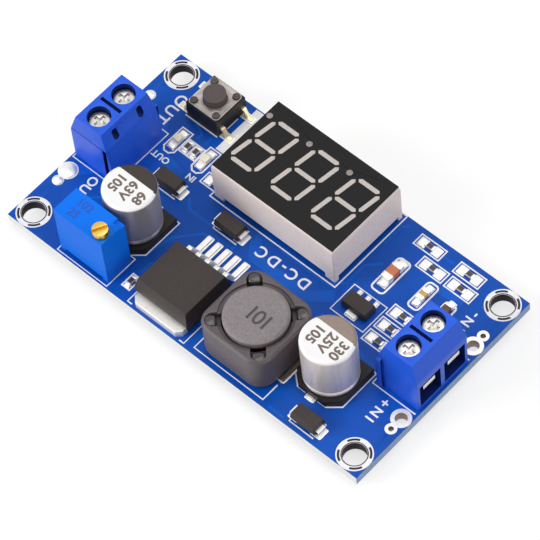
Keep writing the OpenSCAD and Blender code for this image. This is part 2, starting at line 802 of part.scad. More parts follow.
module at_out() {
    translate([left + term_setback, out_term_y, deck]) rotate(180) children();
}

module at_in() {
    translate([right - term_setback, in_term_y, deck]) children();
}

// The negative way is on the local +Y side, the positive way on the local -Y side
module way(side) {
    translate([0, side * pole_pitch / 2, 0]) children();
}

module at_contact_pins() {
    for (side = [-1, 1]) {
        at_out() way(side) translate([contact_pin_x, 0, 0]) children();
        at_in() way(side) translate([contact_pin_x, 0, 0]) children();
    }
}

module terminal_outline() {
    polygon([
        [0, 0], [0, term_h - front_rise], [-front_lean, term_h], [-front_lean - top_d, term_h],
        [-term_d + knee_in, term_h - knee_drop], [-term_d, term_h - back_drop], [-term_d, 0]]);
}

module dovetail(gap) {
    root = dovetail_w / 2 - dovetail_t / 3 + gap;
    tip = dovetail_w / 2 + gap;
    translate([dovetail_x, 0, -gap]) linear_extrude(seam_z + gap)
        polygon([[-root, gap], [root, gap], [tip, -dovetail_t], [-tip, -dovetail_t]]);
}

module wire_chamber() {
    translate([-2 * lip_t, -chamber_w / 2, floor_t])
        cube([2 * lip_t + cut, chamber_w, mouth_h]);
    translate([-chamber_d, -chamber_w / 2, floor_t])
        cube([chamber_d - lip_t, chamber_w, chamber_roof - floor_t]);
}

module screw_well() {
    translate([-screw_set, 0, floor_t]) {
        cylinder(d = shank_d + 2 * slide_gap, h = term_h);
        translate([0, 0, ledge_top - floor_t]) cylinder(d = well_d, h = term_h);
    }
}

// An upright oval in the back that opens into a screw well
module back_oval() {
    translate([-term_d, 0, ledge_top + oval_l / 2]) rotate([0, 90, 0])
        linear_extrude(term_d - screw_set) {
            square([oval_l - oval_w, oval_w], center = true);
            for (end = [-1, 1]) translate([end * (oval_l - oval_w) / 2, 0]) circle(d = oval_w);
        }
}

module contact_pin_slot() {
    translate([contact_pin_x, 0, -cut])
        block(contact_t + slide_gap, contact_pin_w + slide_gap, floor_t + 2 * cut);
}

module terminal_housing() {
    difference() {
        union() {
            intersection() {
                along_y(term_w) terminal_outline();
                along_x(2 * term_d) polygon([
                    [-term_w / 2, 0], [term_w / 2, 0], [term_w / 2, seam_z],
                    [term_w / 2 - side_lean, term_h], [side_lean - term_w / 2, term_h],
                    [-term_w / 2, seam_z]]);
            }
            translate([0, -term_w / 2, 0]) dovetail(0);
        }
        translate([0, term_w / 2, 0]) dovetail(slide_gap);
        translate([-front_lean - top_d / 2, 0, term_h - groove_h])
            block(top_d - 2 * groove_w, groove_w, 2 * groove_h);
        for (side = [-1, 1]) way(side) {
            wire_chamber();
            screw_well();
            back_oval();
            contact_pin_slot();
        }
    }
}

module contact() {
    along_y(contact_w) polygon([
        [-contact_set, strip_z - contact_lip], [-contact_set, strip_top],
        [-contact_back, strip_top], [-contact_back, floor_t],
        [contact_t - contact_back, floor_t], [contact_t - contact_back, strip_z],
        [-contact_set - contact_t, strip_z], [-contact_set - contact_t, strip_z - contact_lip]]);
    translate([contact_pin_x, 0, -deck]) block(contact_t, contact_pin_w, deck + floor_t);
}

module clamp_screw() {
    translate([-screw_set, 0, 0]) difference() {
        union() {
            translate([0, 0, shank_z]) cylinder(d = shank_d, h = head_z - shank_z);
            translate([0, 0, head_z]) cylinder(d = head_d, h = head_h);
        }
        for (turn = [0, 90])
            rotate(turn) translate([0, 0, head_z + head_h - slot_h])
                block(head_d - 2 * slot_w, slot_w, 2 * slot_h);
    }
}

module clamp_cage() {
    translate([-screw_set, 0, 0]) difference() {
        translate([0, 0, cage_z]) block(cage_l, cage_w, cage_top - cage_z);
        translate([0, 0, cage_floor]) block(2 * cage_l, cage_in_w, cage_roof - cage_floor);
        translate([0, 0, cage_floor]) cylinder(d = shank_d + slide_gap, h = term_h);
    }
}

module out_terminal_housing() {
    color("#1f5cf0") at_out() terminal_housing();
}

module in_terminal_housing() {
    color("#1f5cf0") at_in() terminal_housing();
}

module out_contacts() {
    color("#c8cacd") at_out() for (side = [-1, 1]) way(side) contact();
}

module in_contacts() {
    color("#c8cacd") at_in() for (side = [-1, 1]) way(side) contact();
}

module out_screw_neg() {
    color("#d0d2d4") at_out() way(1) clamp_screw();
}

module out_screw_pos() {
    color("#d0d2d4") at_out() way(-1) clamp_screw();
}

module in_screw_neg() {
    color("#d0d2d4") at_in() way(1) clamp_screw();
}

module in_screw_pos() {
    color("#d0d2d4") at_in() way(-1) clamp_screw();
}

module out_cage_neg() {
    color("#b9bcc0") at_out() way(1) clamp_cage();
}

module out_cage_pos() {
    color("#b9bcc0") at_out() way(-1) clamp_cage();
}

module in_cage_neg() {
    color("#b9bcc0") at_in() way(1) clamp_cage();
}

module in_cage_pos() {
    color("#b9bcc0") at_in() way(-1) clamp_cage();
}

// Display

function shell_section(w) = [
    [-w / 2, foot_h], [w / 2, foot_h], [w / 2, shell_top - bevel_h],
    [w / 2 - bevel_in, shell_top], [bevel_in - w / 2, shell_top], [-w / 2, shell_top - bevel_h]];

module display_shell() {
    color("#d5cdca") at(disp_x, disp_y) {
        difference() {
            intersection() {
                along_y(disp_w) polygon(shell_section(disp_l));
                along_x(disp_l) polygon(shell_section(disp_w));
            }
            block(disp_l - 2 * shell_t, disp_w - 2 * shell_t, carrier_z + carrier_t);
        }
        for (x = [-1, 1], y = [-1, 1])
            translate([x * (disp_l - foot_l) / 2, y * (disp_w - shell_t) / 2, 0])
                block(foot_l, shell_t, foot_h);
    }
}

// A point of a digit, leaned over by the slant
function leaned(p) = [p[0] + p[1] * tan(slant), p[1]];

// Outline of a bar of a digit, with mitred tips
function mitred_bar(l) = [
    for (end = [-1, 1]) each [
        [end * (l - segment_w) / 2, -end * segment_w / 2], [end * l / 2, 0],
        [end * (l - segment_w) / 2, end * segment_w / 2]]];

// Level and upright bars, leaned over with their digit
function level_bar(x, y, l) = [
    for (p = mitred_bar(l)) leaned([x + p[0], y + p[1]])];

function upright_bar(x, y, l) = [
    for (p = mitred_bar(l)) leaned([x + p[1], y + p[0]])];

module digit() {
    for (row = [-1, 0, 1]) polygon(level_bar(0, row * digit_h / 2, bar_x));
    for (x = [-1, 1], y = [-1, 1]) polygon(upright_bar(x * digit_w / 2, y * digit_h / 4, bar_y));
    translate([-dot_x, digit_h / 2]) circle(d = dot_d);
}

module digit_row() {
    for (i = [0 : digits - 1]) translate([(i - (digits - 1) / 2) * digit_pitch, 0]) digit();
}

module display_face() {
    color("#2a2628") at(disp_x, disp_y) translate([0, 0, shell_top]) linear_extrude(face_t)
        difference() {
            square([face_l, face_w], center = true);
            digit_row();
        }
}

module display_segments() {
    color("#c9c1ba") at(disp_x, disp_y) translate([0, 0, shell_top]) linear_extrude(face_t) digit_row();
}

module display_carrier() {
    inner_l = disp_l - 2 * shell_t - 2 * carrier_gap;
    inner_w = disp_w - 2 * shell_t - 2 * carrier_gap;
    color("#3a6b3f") at(disp_x, disp_y) translate([0, 0, carrier_z]) block(inner_l, inner_w, carrier_t);
}

module at_display_pins() {
    at(disp_x, disp_y) for (i = [0 : pins_in_row - 1], y = [-1, 1])
        translate([(i - (pins_in_row - 1) / 2) * pin_pitch, y * pin_rows / 2, 0]) children();
}

module display_pins() {
    color("#c9ccd0") at_display_pins() translate([0, 0, -deck]) block(pin_t, pin_t, deck + carrier_z);
}

// Meter chip in the space under the display

module chip_lead_rows(inside) {
    for (side = [0, 180]) rotate(side) for (i = [0 : chip_leads - 1])
        translate([(i - (chip_leads - 1) / 2) * chip_pitch, chip_w / 2, 0])
            along_x(chip_lead_w)
                polygon(gull(inside, chip_reach, chip_reach / 2, chip_mid - chip_lead_t / 2, chip_lead_t));
}

module meter_chip() {
    color("#2b2a2b") at(disp_x, disp_y) difference() {
        moulded(chip_l, chip_w, chip_lead_t / 2, chip_mid, chip_h, chip_lead_t, chip_lead_t);
        chip_lead_rows(chip_lead_t);
    }
}

module meter_chip_leads() {
    color("#c9ccd0") at(disp_x, disp_y) chip_lead_rows(chip_lead_t);
}

// Push button

module button_posts(gap, h) {
    for (x = [-1, 1], y = [-1, 1])
        translate([x * post_set, y * post_set, 0]) cylinder(d = post_d + 2 * gap, h = h);
}

module leg_rows() {
    for (side = [0, 180]) rotate(side) for (y = [-1, 1])
        translate([button_w / 2, y * leg_pitch / 2, 0])
            along_y(leg_w) polygon(gull(leg_t, leg_reach, leg_reach / 2, leg_rise, leg_t));
}

module button_base() {
    color("#262324") at(button_x, button_y) {
        difference() {
            block(button_w, button_w, button_h);
            translate([0, 0, cup_z]) cylinder(d = cup_d, h = button_h);
            leg_rows();
        }
        translate([0, 0, button_h]) button_posts(0, cover_t + post_h);
    }
}

module button_cover() {
    color("#b5b6b8") at(button_x, button_y) translate([0, 0, button_h]) difference() {
        linear_extrude(cover_t) rounded(cover_w, cover_w, cover_r);
        translate([0, 0, -cut]) cylinder(d = plunger_d + 2 * plunger_gap, h = cover_t + 2 * cut);
        translate([0, 0, -cut]) button_posts(plunger_gap / 4, cover_t + 2 * cut);
    }
}

module button_plunger() {
    color("#5a5050") at(button_x, button_y) {
        translate([0, 0, flange_z])
            cylinder(d = plunger_d, h = button_h + cover_t + plunger_h - flange_z);
        translate([0, 0, flange_z]) cylinder(d = plunger_d + 2 * flange_w, h = flange_t);
        translate([0, 0, plunger_foot]) cylinder(d = plunger_d / 3, h = flange_z - plunger_foot);
    }
}

// A point of the dome's section, at an angle from its axis
function dome_point(a, r) = [r * sin(a), spring_h - spring_ball + r * cos(a)];

module button_dome() {
    rim = asin(spring_r / spring_ball);
    inner = spring_ball - spring_t;
    inner_rim = acos((spring_ball - spring_h) / inner);
    color("#c8a860") at(button_x, button_y) translate([0, 0, cup_z]) rotate_extrude() polygon(concat(
        [for (i = [0:8]) dome_point(i / 8 * rim, spring_ball)],
        [for (i = [8:-1:0]) dome_point(i / 8 * inner_rim, inner)]));
}

module button_legs() {
    color("#c9a55c") at(button_x, button_y) leg_rows();
}

// Trimmer

module trimmer_body() {
    color("#1787ff") at(trimmer_x, trimmer_y) {
        difference() {
            translate([0, 0, rail_h]) block(trimmer_l, trimmer_w, trimmer_h - rail_h);
            translate([adjuster_x, adjuster_y, trimmer_h - shaft_h - shaft_gap])
                cylinder(d = shaft_d + 2 * shaft_gap, h = trimmer_h);
            translate([(trimmer_l - notch_l) / 2, (trimmer_w - notch_w) / 2, trimmer_h - notch_h])
                block(notch_l, notch_w, notch_h);
        }
        for (x = [-1, 1])
            translate([x * (trimmer_l - rail_l) / 2, 0, 0]) block(rail_l, trimmer_w, rail_h);
    }
}

module trimmer_screw() {
    color("#e0b040") at(trimmer_x, trimmer_y) translate([adjuster_x, adjuster_y, 0]) difference() {
        union() {
            translate([0, 0, trimmer_h - shaft_h]) cylinder(d = shaft_d, h = shaft_h + shaft_gap);
            translate([0, 0, trimmer_h + shaft_gap]) cylinder(d = adjuster_d, h = adjuster_h);
        }
        translate([0, 0, trimmer_h + shaft_gap + adjuster_h - adjuster_slot_h]) rotate(adjuster_turn)
            block(2 * adjuster_d, adjuster_slot, 2 * adjuster_slot_h);
    }
}

module at_trimmer_pins() {
    at(trimmer_x, trimmer_y) for (i = [-1:1]) translate([i * trimmer_pitch, 0, 0]) children();
}

module trimmer_pins() {
    color("#c9ccd0") at_trimmer_pins() translate([0, 0, -deck])
        cylinder(d = trimmer_pin_d, h = deck + rail_h);
}

// Electrolytic capacitors

module cap_lead_pair() {
    lead_l = (base_w - cap_lead_gap) / 2 + cap_lead_out;
    for (y = [-1, 1])
        translate([0, y * (cap_lead_gap + lead_l) / 2, 0]) block(cap_lead_w, lead_l, cap_lead_t);
}

module cap_base() {
    half = base_w / 2;
    difference() {
        linear_extrude(base_h) polygon([
            [-half, half], [-half, base_cut - half], [base_cut - half, -half],
            [half - base_cut, -half], [half, base_cut - half], [half, half]]);
        cap_lead_pair();
    }
}

module cap_can() {
    r = can_d / 2;
    h = cap_h - base_h;
    translate([0, 0, base_h]) rotate_extrude() polygon(concat(
        [[0, 0], [r - crimp_t, 0], [r, crimp_t], [r, crimp_z - crimp_t], [r - crimp_t, crimp_z],
            [r, crimp_z + crimp_t]],
        [for (a = [0:15:90]) [r - can_r + can_r * cos(a), h - can_r + can_r * sin(a)]],
        [[0, h]]));
}

module out_cap_base() {
    color("#232122") at(out_cap_x, out_cap_y) cap_base();
}

module out_cap_can() {
    color("#c9c9cb") at(out_cap_x, out_cap_y) cap_can();
}

module out_cap_leads() {
    color("#c9ccd0") at(out_cap_x, out_cap_y) cap_lead_pair();
}

module in_cap_base() {
    color("#232122") at(in_cap_x, in_cap_y) cap_base();
}

module in_cap_can() {
    color("#c9c9cb") at(in_cap_x, in_cap_y) cap_can();
}

module in_cap_leads() {
    color("#c9ccd0") at(in_cap_x, in_cap_y) cap_lead_pair();
}

// Regulator: the tab points to the near edge, the leads to the middle of the board

module regulator_tab_shape() {
    end = -reg_l / 2 - tab_out;
    half = reg_w / 2 - reg_draft;
    linear_extrude(tab_t) polygon([
        [tab_cut - half, end], [half - tab_cut, end], [half, end + tab_cut],
        [half, reg_l / 4], [-half, reg_l / 4], [-half, end + tab_cut]]);
}

module regulator_lead_row() {
    for (i = [0 : reg_leads - 1])
        translate([(i - (reg_leads - 1) / 2) * reg_pitch, reg_l / 2, 0]) along_x(reg_lead_w)
            polygon(gull(reg_draft, reg_reach, reg_foot, reg_mid - reg_lead_t / 2, reg_lead_t));
}

module regulator_mould() {
    color("#4a4443") at(reg_x, mould_y) difference() {
        moulded(reg_w, reg_l, 0, reg_mid, reg_h, reg_draft, reg_draft);
        regulator_tab_shape();
        regulator_lead_row();
    }
}

module regulator_tab() {
    color("#b9bcc0") at(reg_x, mould_y) regulator_tab_shape();
}

module regulator_leads() {
    color("#c9ccd0") at(reg_x, mould_y) regulator_lead_row();
}

// Inductor

module inductor_terminal_pair() {
    reach = shield_w / 2 + ind_term_out;
    for (x = [-1, 1])
        translate([x * (reach - ind_term_l / 2), 0, 0]) block(ind_term_l, ind_term_w, ind_term_t);
}

// Slots that run out of the bore into the shield's four corners
module corner_slots() {
    corner_r = (shield_w / 2 - shield_r) * sqrt(2) + shield_r;
    slot_end = corner_r - pocket_wall - pocket_d / 2;
    for (turn = [45:90:315]) rotate(turn) {
        translate([0, -pocket_d / 2, 0]) cube([slot_end, pocket_d, shield_h]);
        translate([slot_end, 0, 0]) cylinder(d = pocket_d, h = shield_h);
    }
}

// Section of the shield's outside: upright walls with a bevel along the top
function shield_section(h) = [
    [-shield_w / 2, 0], [shield_w / 2, 0], [shield_w / 2, h - shield_bevel],
    [shield_w / 2 - shield_bevel, h], [shield_bevel - shield_w / 2, h], [-shield_w / 2, h - shield_bevel]];

module shield_block(h) {
    flat = shield_w - 2 * shield_r;
    along_x(flat) polygon(shield_section(h));
    along_y(flat) polygon(shield_section(h));
    for (x = [-1, 1], y = [-1, 1]) translate([x * flat / 2, y * flat / 2, 0]) {
        cylinder(r = shield_r, h = h - shield_bevel);
        translate([0, 0, h - shield_bevel])
            cylinder(r1 = shield_r, r2 = shield_r - shield_bevel, h = shield_bevel);
    }
}

module inductor_shield() {
    color("#5a5358") at(ind_x, ind_y) difference() {
        translate([0, 0, ind_base_h]) shield_block(shield_h - ind_base_h);
        cylinder(d = shield_bore, h = shield_h + cut);
        translate([0, 0, shield_h - step_h]) cylinder(d = step_d, h = shield_h);
        translate([0, 0, shield_h - pocket_h]) corner_slots();
    }
}

module inductor_core() {
    rim = drum_d / 2;
    post = post_core_d / 2;
    color("#8a8486") at(ind_x, ind_y) rotate_extrude() polygon([
        [0, ind_base_h], [rim, ind_base_h], [rim, ind_base_h + drum_t], [post, ind_base_h + drum_t],
        [post, drum_top - drum_t], [rim, drum_top - drum_t], [rim, drum_top - drum_bevel_h],
        [rim - drum_bevel_in, drum_top], [0, drum_top]]);
}

module inductor_coil() {
    winding_h = drum_top - ind_base_h - 2 * drum_t;
    color("#b06a3a") at(ind_x, ind_y) translate([0, 0, ind_base_h + drum_t]) difference() {
        cylinder(d = drum_d - 2 * winding_in, h = winding_h);
        translate([0, 0, -cut]) cylinder(d = post_core_d + 2 * winding_gap, h = winding_h + 2 * cut);
    }
}

module inductor_base() {
    base_side = shield_w - 2 * ind_base_in;
    color("#2c2a2b") at(ind_x, ind_y) difference() {
        linear_extrude(ind_base_h) rounded(base_side, base_side, shield_r - ind_base_in);
        inductor_terminal_pair();
    }
}

module inductor_terminals() {
    color("#b9bcc0") at(ind_x, ind_y) inductor_terminal_pair();
}

// Power diodes

module diode_lead_pair() {
    end = diode_l / 2 + diode_reach;
    inside = diode_l / 2 - 2 * diode_lead_t;
    t = diode_lead_t;
    for (side = [0, 180]) rotate(side) along_y(diode_lead_w) polygon([
        [inside, diode_mid + t / 2], [end, diode_mid + t / 2], [end, 0], [end - diode_foot, 0],
        [end - diode_foot, t], [end - t, t], [end - t, diode_mid - t / 2], [inside, diode_mid - t / 2]]);
}

module diode_body() {
    low = diode_lead_t;
    difference() {
        moulded(diode_l, diode_w, low, diode_mid, diode_h, diode_draft / 3, diode_draft);
        diode_lead_pair();
    }
}

module boost_diode() {
    color("#4a4547") at(boost_diode_x, diode_row_y) diode_body();
}

module boost_diode_leads() {
    color("#c9ccd0") at(boost_diode_x, diode_row_y) diode_lead_pair();
}

module output_diode() {
    color("#4a4547") at(out_diode_x, diode_row_y) diode_body();
}

module output_diode_leads() {
    color("#c9ccd0") at(out_diode_x, diode_row_y) diode_lead_pair();
}

module input_diode() {
    color("#4a4547") at(in_diode_x, in_diode_y) diode_body();
}

module input_diode_leads() {
    color("#c9ccd0") at(in_diode_x, in_diode_y) diode_lead_pair();
}

// Auxiliary regulator

module aux_lead_set() {
    inside = 2 * aux_draft;
    for (i = [-1:1])
        translate([i * aux_pitch, aux_d / 2 + (aux_reach - inside) / 2, 0])
            block(aux_lead_w, aux_reach + inside, aux_lead_t);
    translate([0, -aux_d / 2 - (aux_tab_out - inside) / 2, 0])
        block(aux_tab_w, aux_tab_out + inside, aux_lead_t);
}

module aux_regulator() {
    color("#3a3638") at(aux_x, aux_y) difference() {
        moulded(aux_w, aux_d, 0, aux_lead_t, aux_h, aux_draft, aux_draft);
        aux_lead_set();
    }
}

module aux_regulator_leads() {
    color("#c9ccd0") at(aux_x, aux_y) aux_lead_set();
}

// Chip resistors, ceramic capacitors and indicator lights

module at_spots(spots) {
    for (s = spots) at(s[0], s[1], s[2]) children();
}

module chip_body(l, w, h) {
    translate([0, 0, end_t]) block(l - 2 * end_l, w - 2 * end_t, h - 2 * end_t);
}

module chip_ends(l, w, h) {
    for (x = [-1, 1]) translate([x * (l - end_l) / 2, 0, 0]) block(end_l, w, h);
}

module chip_resistors() {
    color("#2d2b2c") at_spots(resistor_spots) chip_body(res_l, res_w, res_h);
}

module chip_resistor_ends() {
    color("#d6d8da") at_spots(resistor_spots) chip_ends(res_l, res_w, res_h);
}

module ceramic_caps() {
    color("#c8682e") {
        at_spots(large_ceramic_spots) chip_body(ceramic_l, ceramic_w, ceramic_h);
        at_spots(small_ceramic_spots) chip_body(small_ceramic_l, small_ceramic_w, small_ceramic_h);
    }
}

module ceramic_cap_ends() {
    color("#d6d8da") {
        at_spots(large_ceramic_spots) chip_ends(ceramic_l, ceramic_w, ceramic_h);
        at_spots(small_ceramic_spots) chip_ends(small_ceramic_l, small_ceramic_w, small_ceramic_h);
    }
}

module indicator_bases() {
    color("#e6e4dc") at_spots(light_spots) block(light_l, light_w, light_base_h);
}

module indicator_lights() {
    half = lens_l / 2;
    color("#e8e4c8") at_spots(light_spots) translate([0, 0, light_base_h]) along_y(light_w)
        polygon([[-half, 0], [half, 0], [half - lens_lean, lens_h], [lens_lean - half, lens_h]]);
}

circuit_board();
tail_solder();
wire_solder();
out_terminal_housing();
in_terminal_housing();
out_contacts();
in_contacts();
out_screw_neg();
out_screw_pos();
in_screw_neg();
in_screw_pos();
out_cage_neg();
out_cage_pos();
in_cage_neg();
in_cage_pos();
display_shell();
display_face();
display_segments();
display_carrier();
display_pins();
meter_chip();
meter_chip_leads();
button_base();
button_cover();
button_plunger();
button_dome();
button_legs();
trimmer_body();
trimmer_screw();
trimmer_pins();
out_cap_base();
out_cap_can();
out_cap_leads();
in_cap_base();
in_cap_can();
in_cap_leads();
regulator_mould();
regulator_tab();
regulator_leads();
inductor_shield();
inductor_core();
inductor_coil();
inductor_base();
inductor_terminals();
boost_diode();
boost_diode_leads();
output_diode();
output_diode_leads();
input_diode();
input_diode_leads();
aux_regulator();
aux_regulator_leads();
chip_resistors();
chip_resistor_ends();
ceramic_caps();
ceramic_cap_ends();
indicator_lights();
indicator_bases();
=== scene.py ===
"""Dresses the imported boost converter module, and sets the studio that it is shown in.

The solids come in as a fixed frame, in metres. Each operator makes one piece, or one group of
like pieces, from them and in the same place. Sizes and colours are properties of the scene.
"""
from functools import cache
from math import atan2, cos, pi, radians, sin, sqrt

import bmesh
import bpy
from bpy.props import FloatProperty, FloatVectorProperty, PointerProperty
from mathutils import Matrix, Vector
from mathutils.bvhtree import BVHTree


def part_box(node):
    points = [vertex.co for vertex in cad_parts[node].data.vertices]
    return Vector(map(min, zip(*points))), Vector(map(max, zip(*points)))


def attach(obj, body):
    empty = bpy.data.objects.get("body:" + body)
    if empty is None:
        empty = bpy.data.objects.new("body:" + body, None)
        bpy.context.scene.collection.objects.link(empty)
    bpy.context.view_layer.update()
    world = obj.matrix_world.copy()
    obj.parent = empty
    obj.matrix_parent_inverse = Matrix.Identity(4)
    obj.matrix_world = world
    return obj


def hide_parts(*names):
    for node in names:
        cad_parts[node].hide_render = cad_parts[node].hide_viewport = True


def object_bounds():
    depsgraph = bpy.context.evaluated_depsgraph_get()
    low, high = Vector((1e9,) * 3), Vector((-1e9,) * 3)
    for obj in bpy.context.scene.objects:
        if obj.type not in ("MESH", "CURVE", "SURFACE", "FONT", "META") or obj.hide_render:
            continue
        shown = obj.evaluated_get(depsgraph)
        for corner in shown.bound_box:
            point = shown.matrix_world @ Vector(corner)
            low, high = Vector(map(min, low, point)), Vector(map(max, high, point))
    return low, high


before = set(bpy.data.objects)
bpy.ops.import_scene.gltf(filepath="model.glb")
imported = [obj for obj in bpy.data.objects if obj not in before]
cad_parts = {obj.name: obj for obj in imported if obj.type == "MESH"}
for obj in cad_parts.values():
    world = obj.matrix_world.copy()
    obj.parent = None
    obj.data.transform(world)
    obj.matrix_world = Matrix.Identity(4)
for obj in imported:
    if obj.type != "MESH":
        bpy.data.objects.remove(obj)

bl_info = {
    "name": "Boost converter module",
    "version": (1, 0, 0),
    "blender": (4, 5, 0),
    "location": "3D View > Sidebar > Converter",
    "description": "Dresses the solids of a boost converter module with a meter, and lights them",
    "category": "Object",
}

MM = 0.001
CAD_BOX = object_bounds()
BOARD_LOW, BOARD_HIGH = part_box("circuit_board")
DECK = BOARD_HIGH.z
UNDERSIDE = BOARD_LOW.z
ENDS = ("out", "in")
WAYS = ("neg", "pos")
DIODES = ("boost_diode", "output_diode", "input_diode")


# Properties

def linear(code):
    """The linear colour of an sRGB hex value."""
    parts = [int(code[i:i + 2], 16) / 255 for i in (0, 2, 4)]
    return [c / 12.92 if c <= 0.04045 else ((c + 0.055) / 1.055) ** 2.4 for c in parts]


def length(name, description, millimetres):
    """A length property, given in millimetres and kept in metres."""
    return FloatProperty(name=name, description=description, default=millimetres * MM,
                         min=0.0, unit="LENGTH", subtype="DISTANCE", precision=5)


def paint(name, description, code):
    """A colour property, given as an sRGB hex value."""
    return FloatVectorProperty(name=name, description=description, default=linear(code),
                               size=3, min=0.0, max=1.0, subtype="COLOR")


class ConverterSizes(bpy.types.PropertyGroup):
    """Sizes of what the solids don't carry: prints, tin, rounded edges and the view."""

    ink_width: length("Printed line", "Width of a printed line on the board", 0.22)
    ink_height: length("Ink height", "Height of printed ink over what carries it", 0.03)
    label_height: length("Label height", "Height of the letters beside the output", 1.6)
    trace_height: length("Trace height", "Height of the lacquer over a copper run", 0.03)
    pad_height: length("Pad height", "Height of a tinned pad over the board", 0.08)
    ring_width: length("Hole ring", "Width of the tin round a mounting hole", 0.87)
    moulding_edge: length("Moulding edge", "Rounding along the edges of large mouldings", 0.16)
    package_edge: length("Package edge", "Rounding along the edges of chip packages", 0.09)
    metal_edge: length("Metal edge", "Rounding along the edges of stamped metal", 0.05)
    camera_distance: length("Camera distance", "From the camera to the spot it looks at", 505.99)
    camera_turn: FloatProperty(name="Camera turn", description="Turn of the camera round the part",
                               default=radians(48.523), subtype="ANGLE")
    camera_rise: FloatProperty(name="Camera rise", description="Height of the camera as an angle",
                               default=radians(57.540), subtype="ANGLE")
    camera_roll: FloatProperty(name="Camera roll", description="Tilt of the camera on its axis",
                               default=radians(-7.280), subtype="ANGLE")
    camera_spot: FloatVectorProperty(name="Camera spot", description="Point the camera looks at",
                                     default=(1.833 * MM, -1.025 * MM, DECK), subtype="XYZ",
                                     unit="LENGTH", precision=5)
    camera_lens: FloatProperty(name="Lens", description="Focal length in millimetres",
                               default=242.48, min=1.0)


class ConverterColours(bpy.types.PropertyGroup):
    """Colours of the finishes."""

    mask: paint("Board lacquer", "Lacquer over bare laminate", "034eb2")
    mask_copper: paint("Lacquer over copper", "Lacquer where copper runs under it", "065ac2")
    laminate: paint("Laminate", "Long edges of the board", "fbf9f2")
    # Painted shade: a darker copy of the laminate's colour for the short edges.
    routed: paint("Short edge shade", "Short edges of the board", "9fb4d2")
    # Dark colour: painted shade in and round the mounting holes, and the dark slots in their rings.
    bare: paint("Hole shade and ring slots", "Drilled walls and the slots in the hole rings", "363236")
    # Darkened as painted shade inside the wire holes.
    plated: paint("Plated barrel", "Walls of the wire holes", "a3928c")
    ink: paint("Board ink", "Printed lines and letters", "f2f1f4")
    tin: paint("Tin", "Solder, tinned pads and leads", "f1efea")
    terminal: paint("Terminal", "Terminal housings", "1c5adc")
    # Painted shade: the darker nylon of the terminals' recesses and seams.
    recess: paint("Terminal recess", "Wells, slots and entries of the terminal housings", "081f60")
    steel: paint("Plated steel", "Clamp screws, contact strips and the button's dome", "d6d3d0")
    # Also the inductor's terminals, as painted shade.
    cage: paint("Clamp cage", "Clamp cages in the wire entries", "6e6660")
    cover: paint("Button cover", "Pressed cover of the push button", "aaa39f")
    shell: paint("Display shell", "Shell of the display", "f0e2d9")
    face: paint("Display face", "Face between the segments", "131112")
    segment: paint("Segments", "Unlit segments of the display", "c2bab4")
    dot: paint("Dots", "Unlit points of the display", "8f8886")
    button: paint("Button base", "Base of the push button", "1d1a1a")
    plunger: paint("Plunger", "Plunger and posts of the push button", "564c4b")
    gilt: paint("Gilt", "Legs of the push button", "e6d8b2")
    trimmer: paint("Trimmer", "Case of the trimmer", "0c74f0")
    trimmer_mark: paint("Trimmer mark", "Number on the trimmer", "0a50b8")
    brass: paint("Brass", "Adjusting screw of the trimmer", "e6bc5c")
    # The two can colours are lit and shaded copies of one aluminium: painted shade on the output
    # can, painted light on the input can.
    out_can: paint("Output can", "Can of the output capacitor", "a8a3a4")
    # Near white as a painted highlight along the cans' feet.
    lip: paint("Rolled lip", "Feet of the capacitors' cans", "fbf8f5")
    in_can: paint("Input can", "Can of the input capacitor", "e2d9d2")
    sleeve: paint("Can print", "Printed tops of the capacitors", "f3f2f2")
    out_mark: paint("Output can mark", "Polarity mark of the output capacitor", "261b16")
    digits: paint("Can numbers", "Numbers on the capacitors", "6e5e56")
    in_mark: paint("Input can mark", "Polarity mark of the input capacitor", "8f7e74")
    mould: paint("Package", "Moulded chip packages", "37302e")
    ferrite: paint("Ferrite", "Shield of the inductor", "5a5256")
    drum: paint("Drum", "Ground top of the inductor's drum", "847d7f")
    drum_mark: paint("Drum mark", "Number on the inductor's drum", "3f393b")
    glue: paint("Glue", "Glue in the corners of the inductor", "3a3537")
    copper: paint("Copper wire", "Winding of the inductor", "b5693a")
    alumina: paint("Alumina", "Bodies of the chip resistors", "c9c2bc")
    glaze: paint("Resistor glaze", "Glass over the chip resistors", "43332f")
    large_ceramic: paint("Large ceramic", "Body of the large chip capacitor", "c9764a")
    small_ceramic: paint("Small ceramic", "Body of the first small chip capacitor", "c9a35a")
    dark_ceramic: paint("Dark ceramic", "Body of the second small chip capacitor", "5a3a2c")
    lens: paint("Light lens", "Lenses of the indicator lights", "fbf1dc")
    floor: paint("Floor", "Floor and backdrop", "ffffff")


# Nodes and finishes

def add(tree, kind, inputs=None, **settings):
    """Add a node: settings by attribute, and each input as a value or as a link."""
    node = tree.nodes.new(kind)
    for key, value in settings.items():
        setattr(node, key, value)
    for key, value in (inputs or {}).items():
        if isinstance(value, bpy.types.NodeSocket):
            tree.links.new(value, node.inputs[key])
        else:
            node.inputs[key].default_value = value
    return node


def tones(colour, spread):
    """A darker and a lighter tone of a colour."""
    return [(*[min(1.0, c * k) for c in colour], 1) for k in (1 - spread, 1 + spread)]


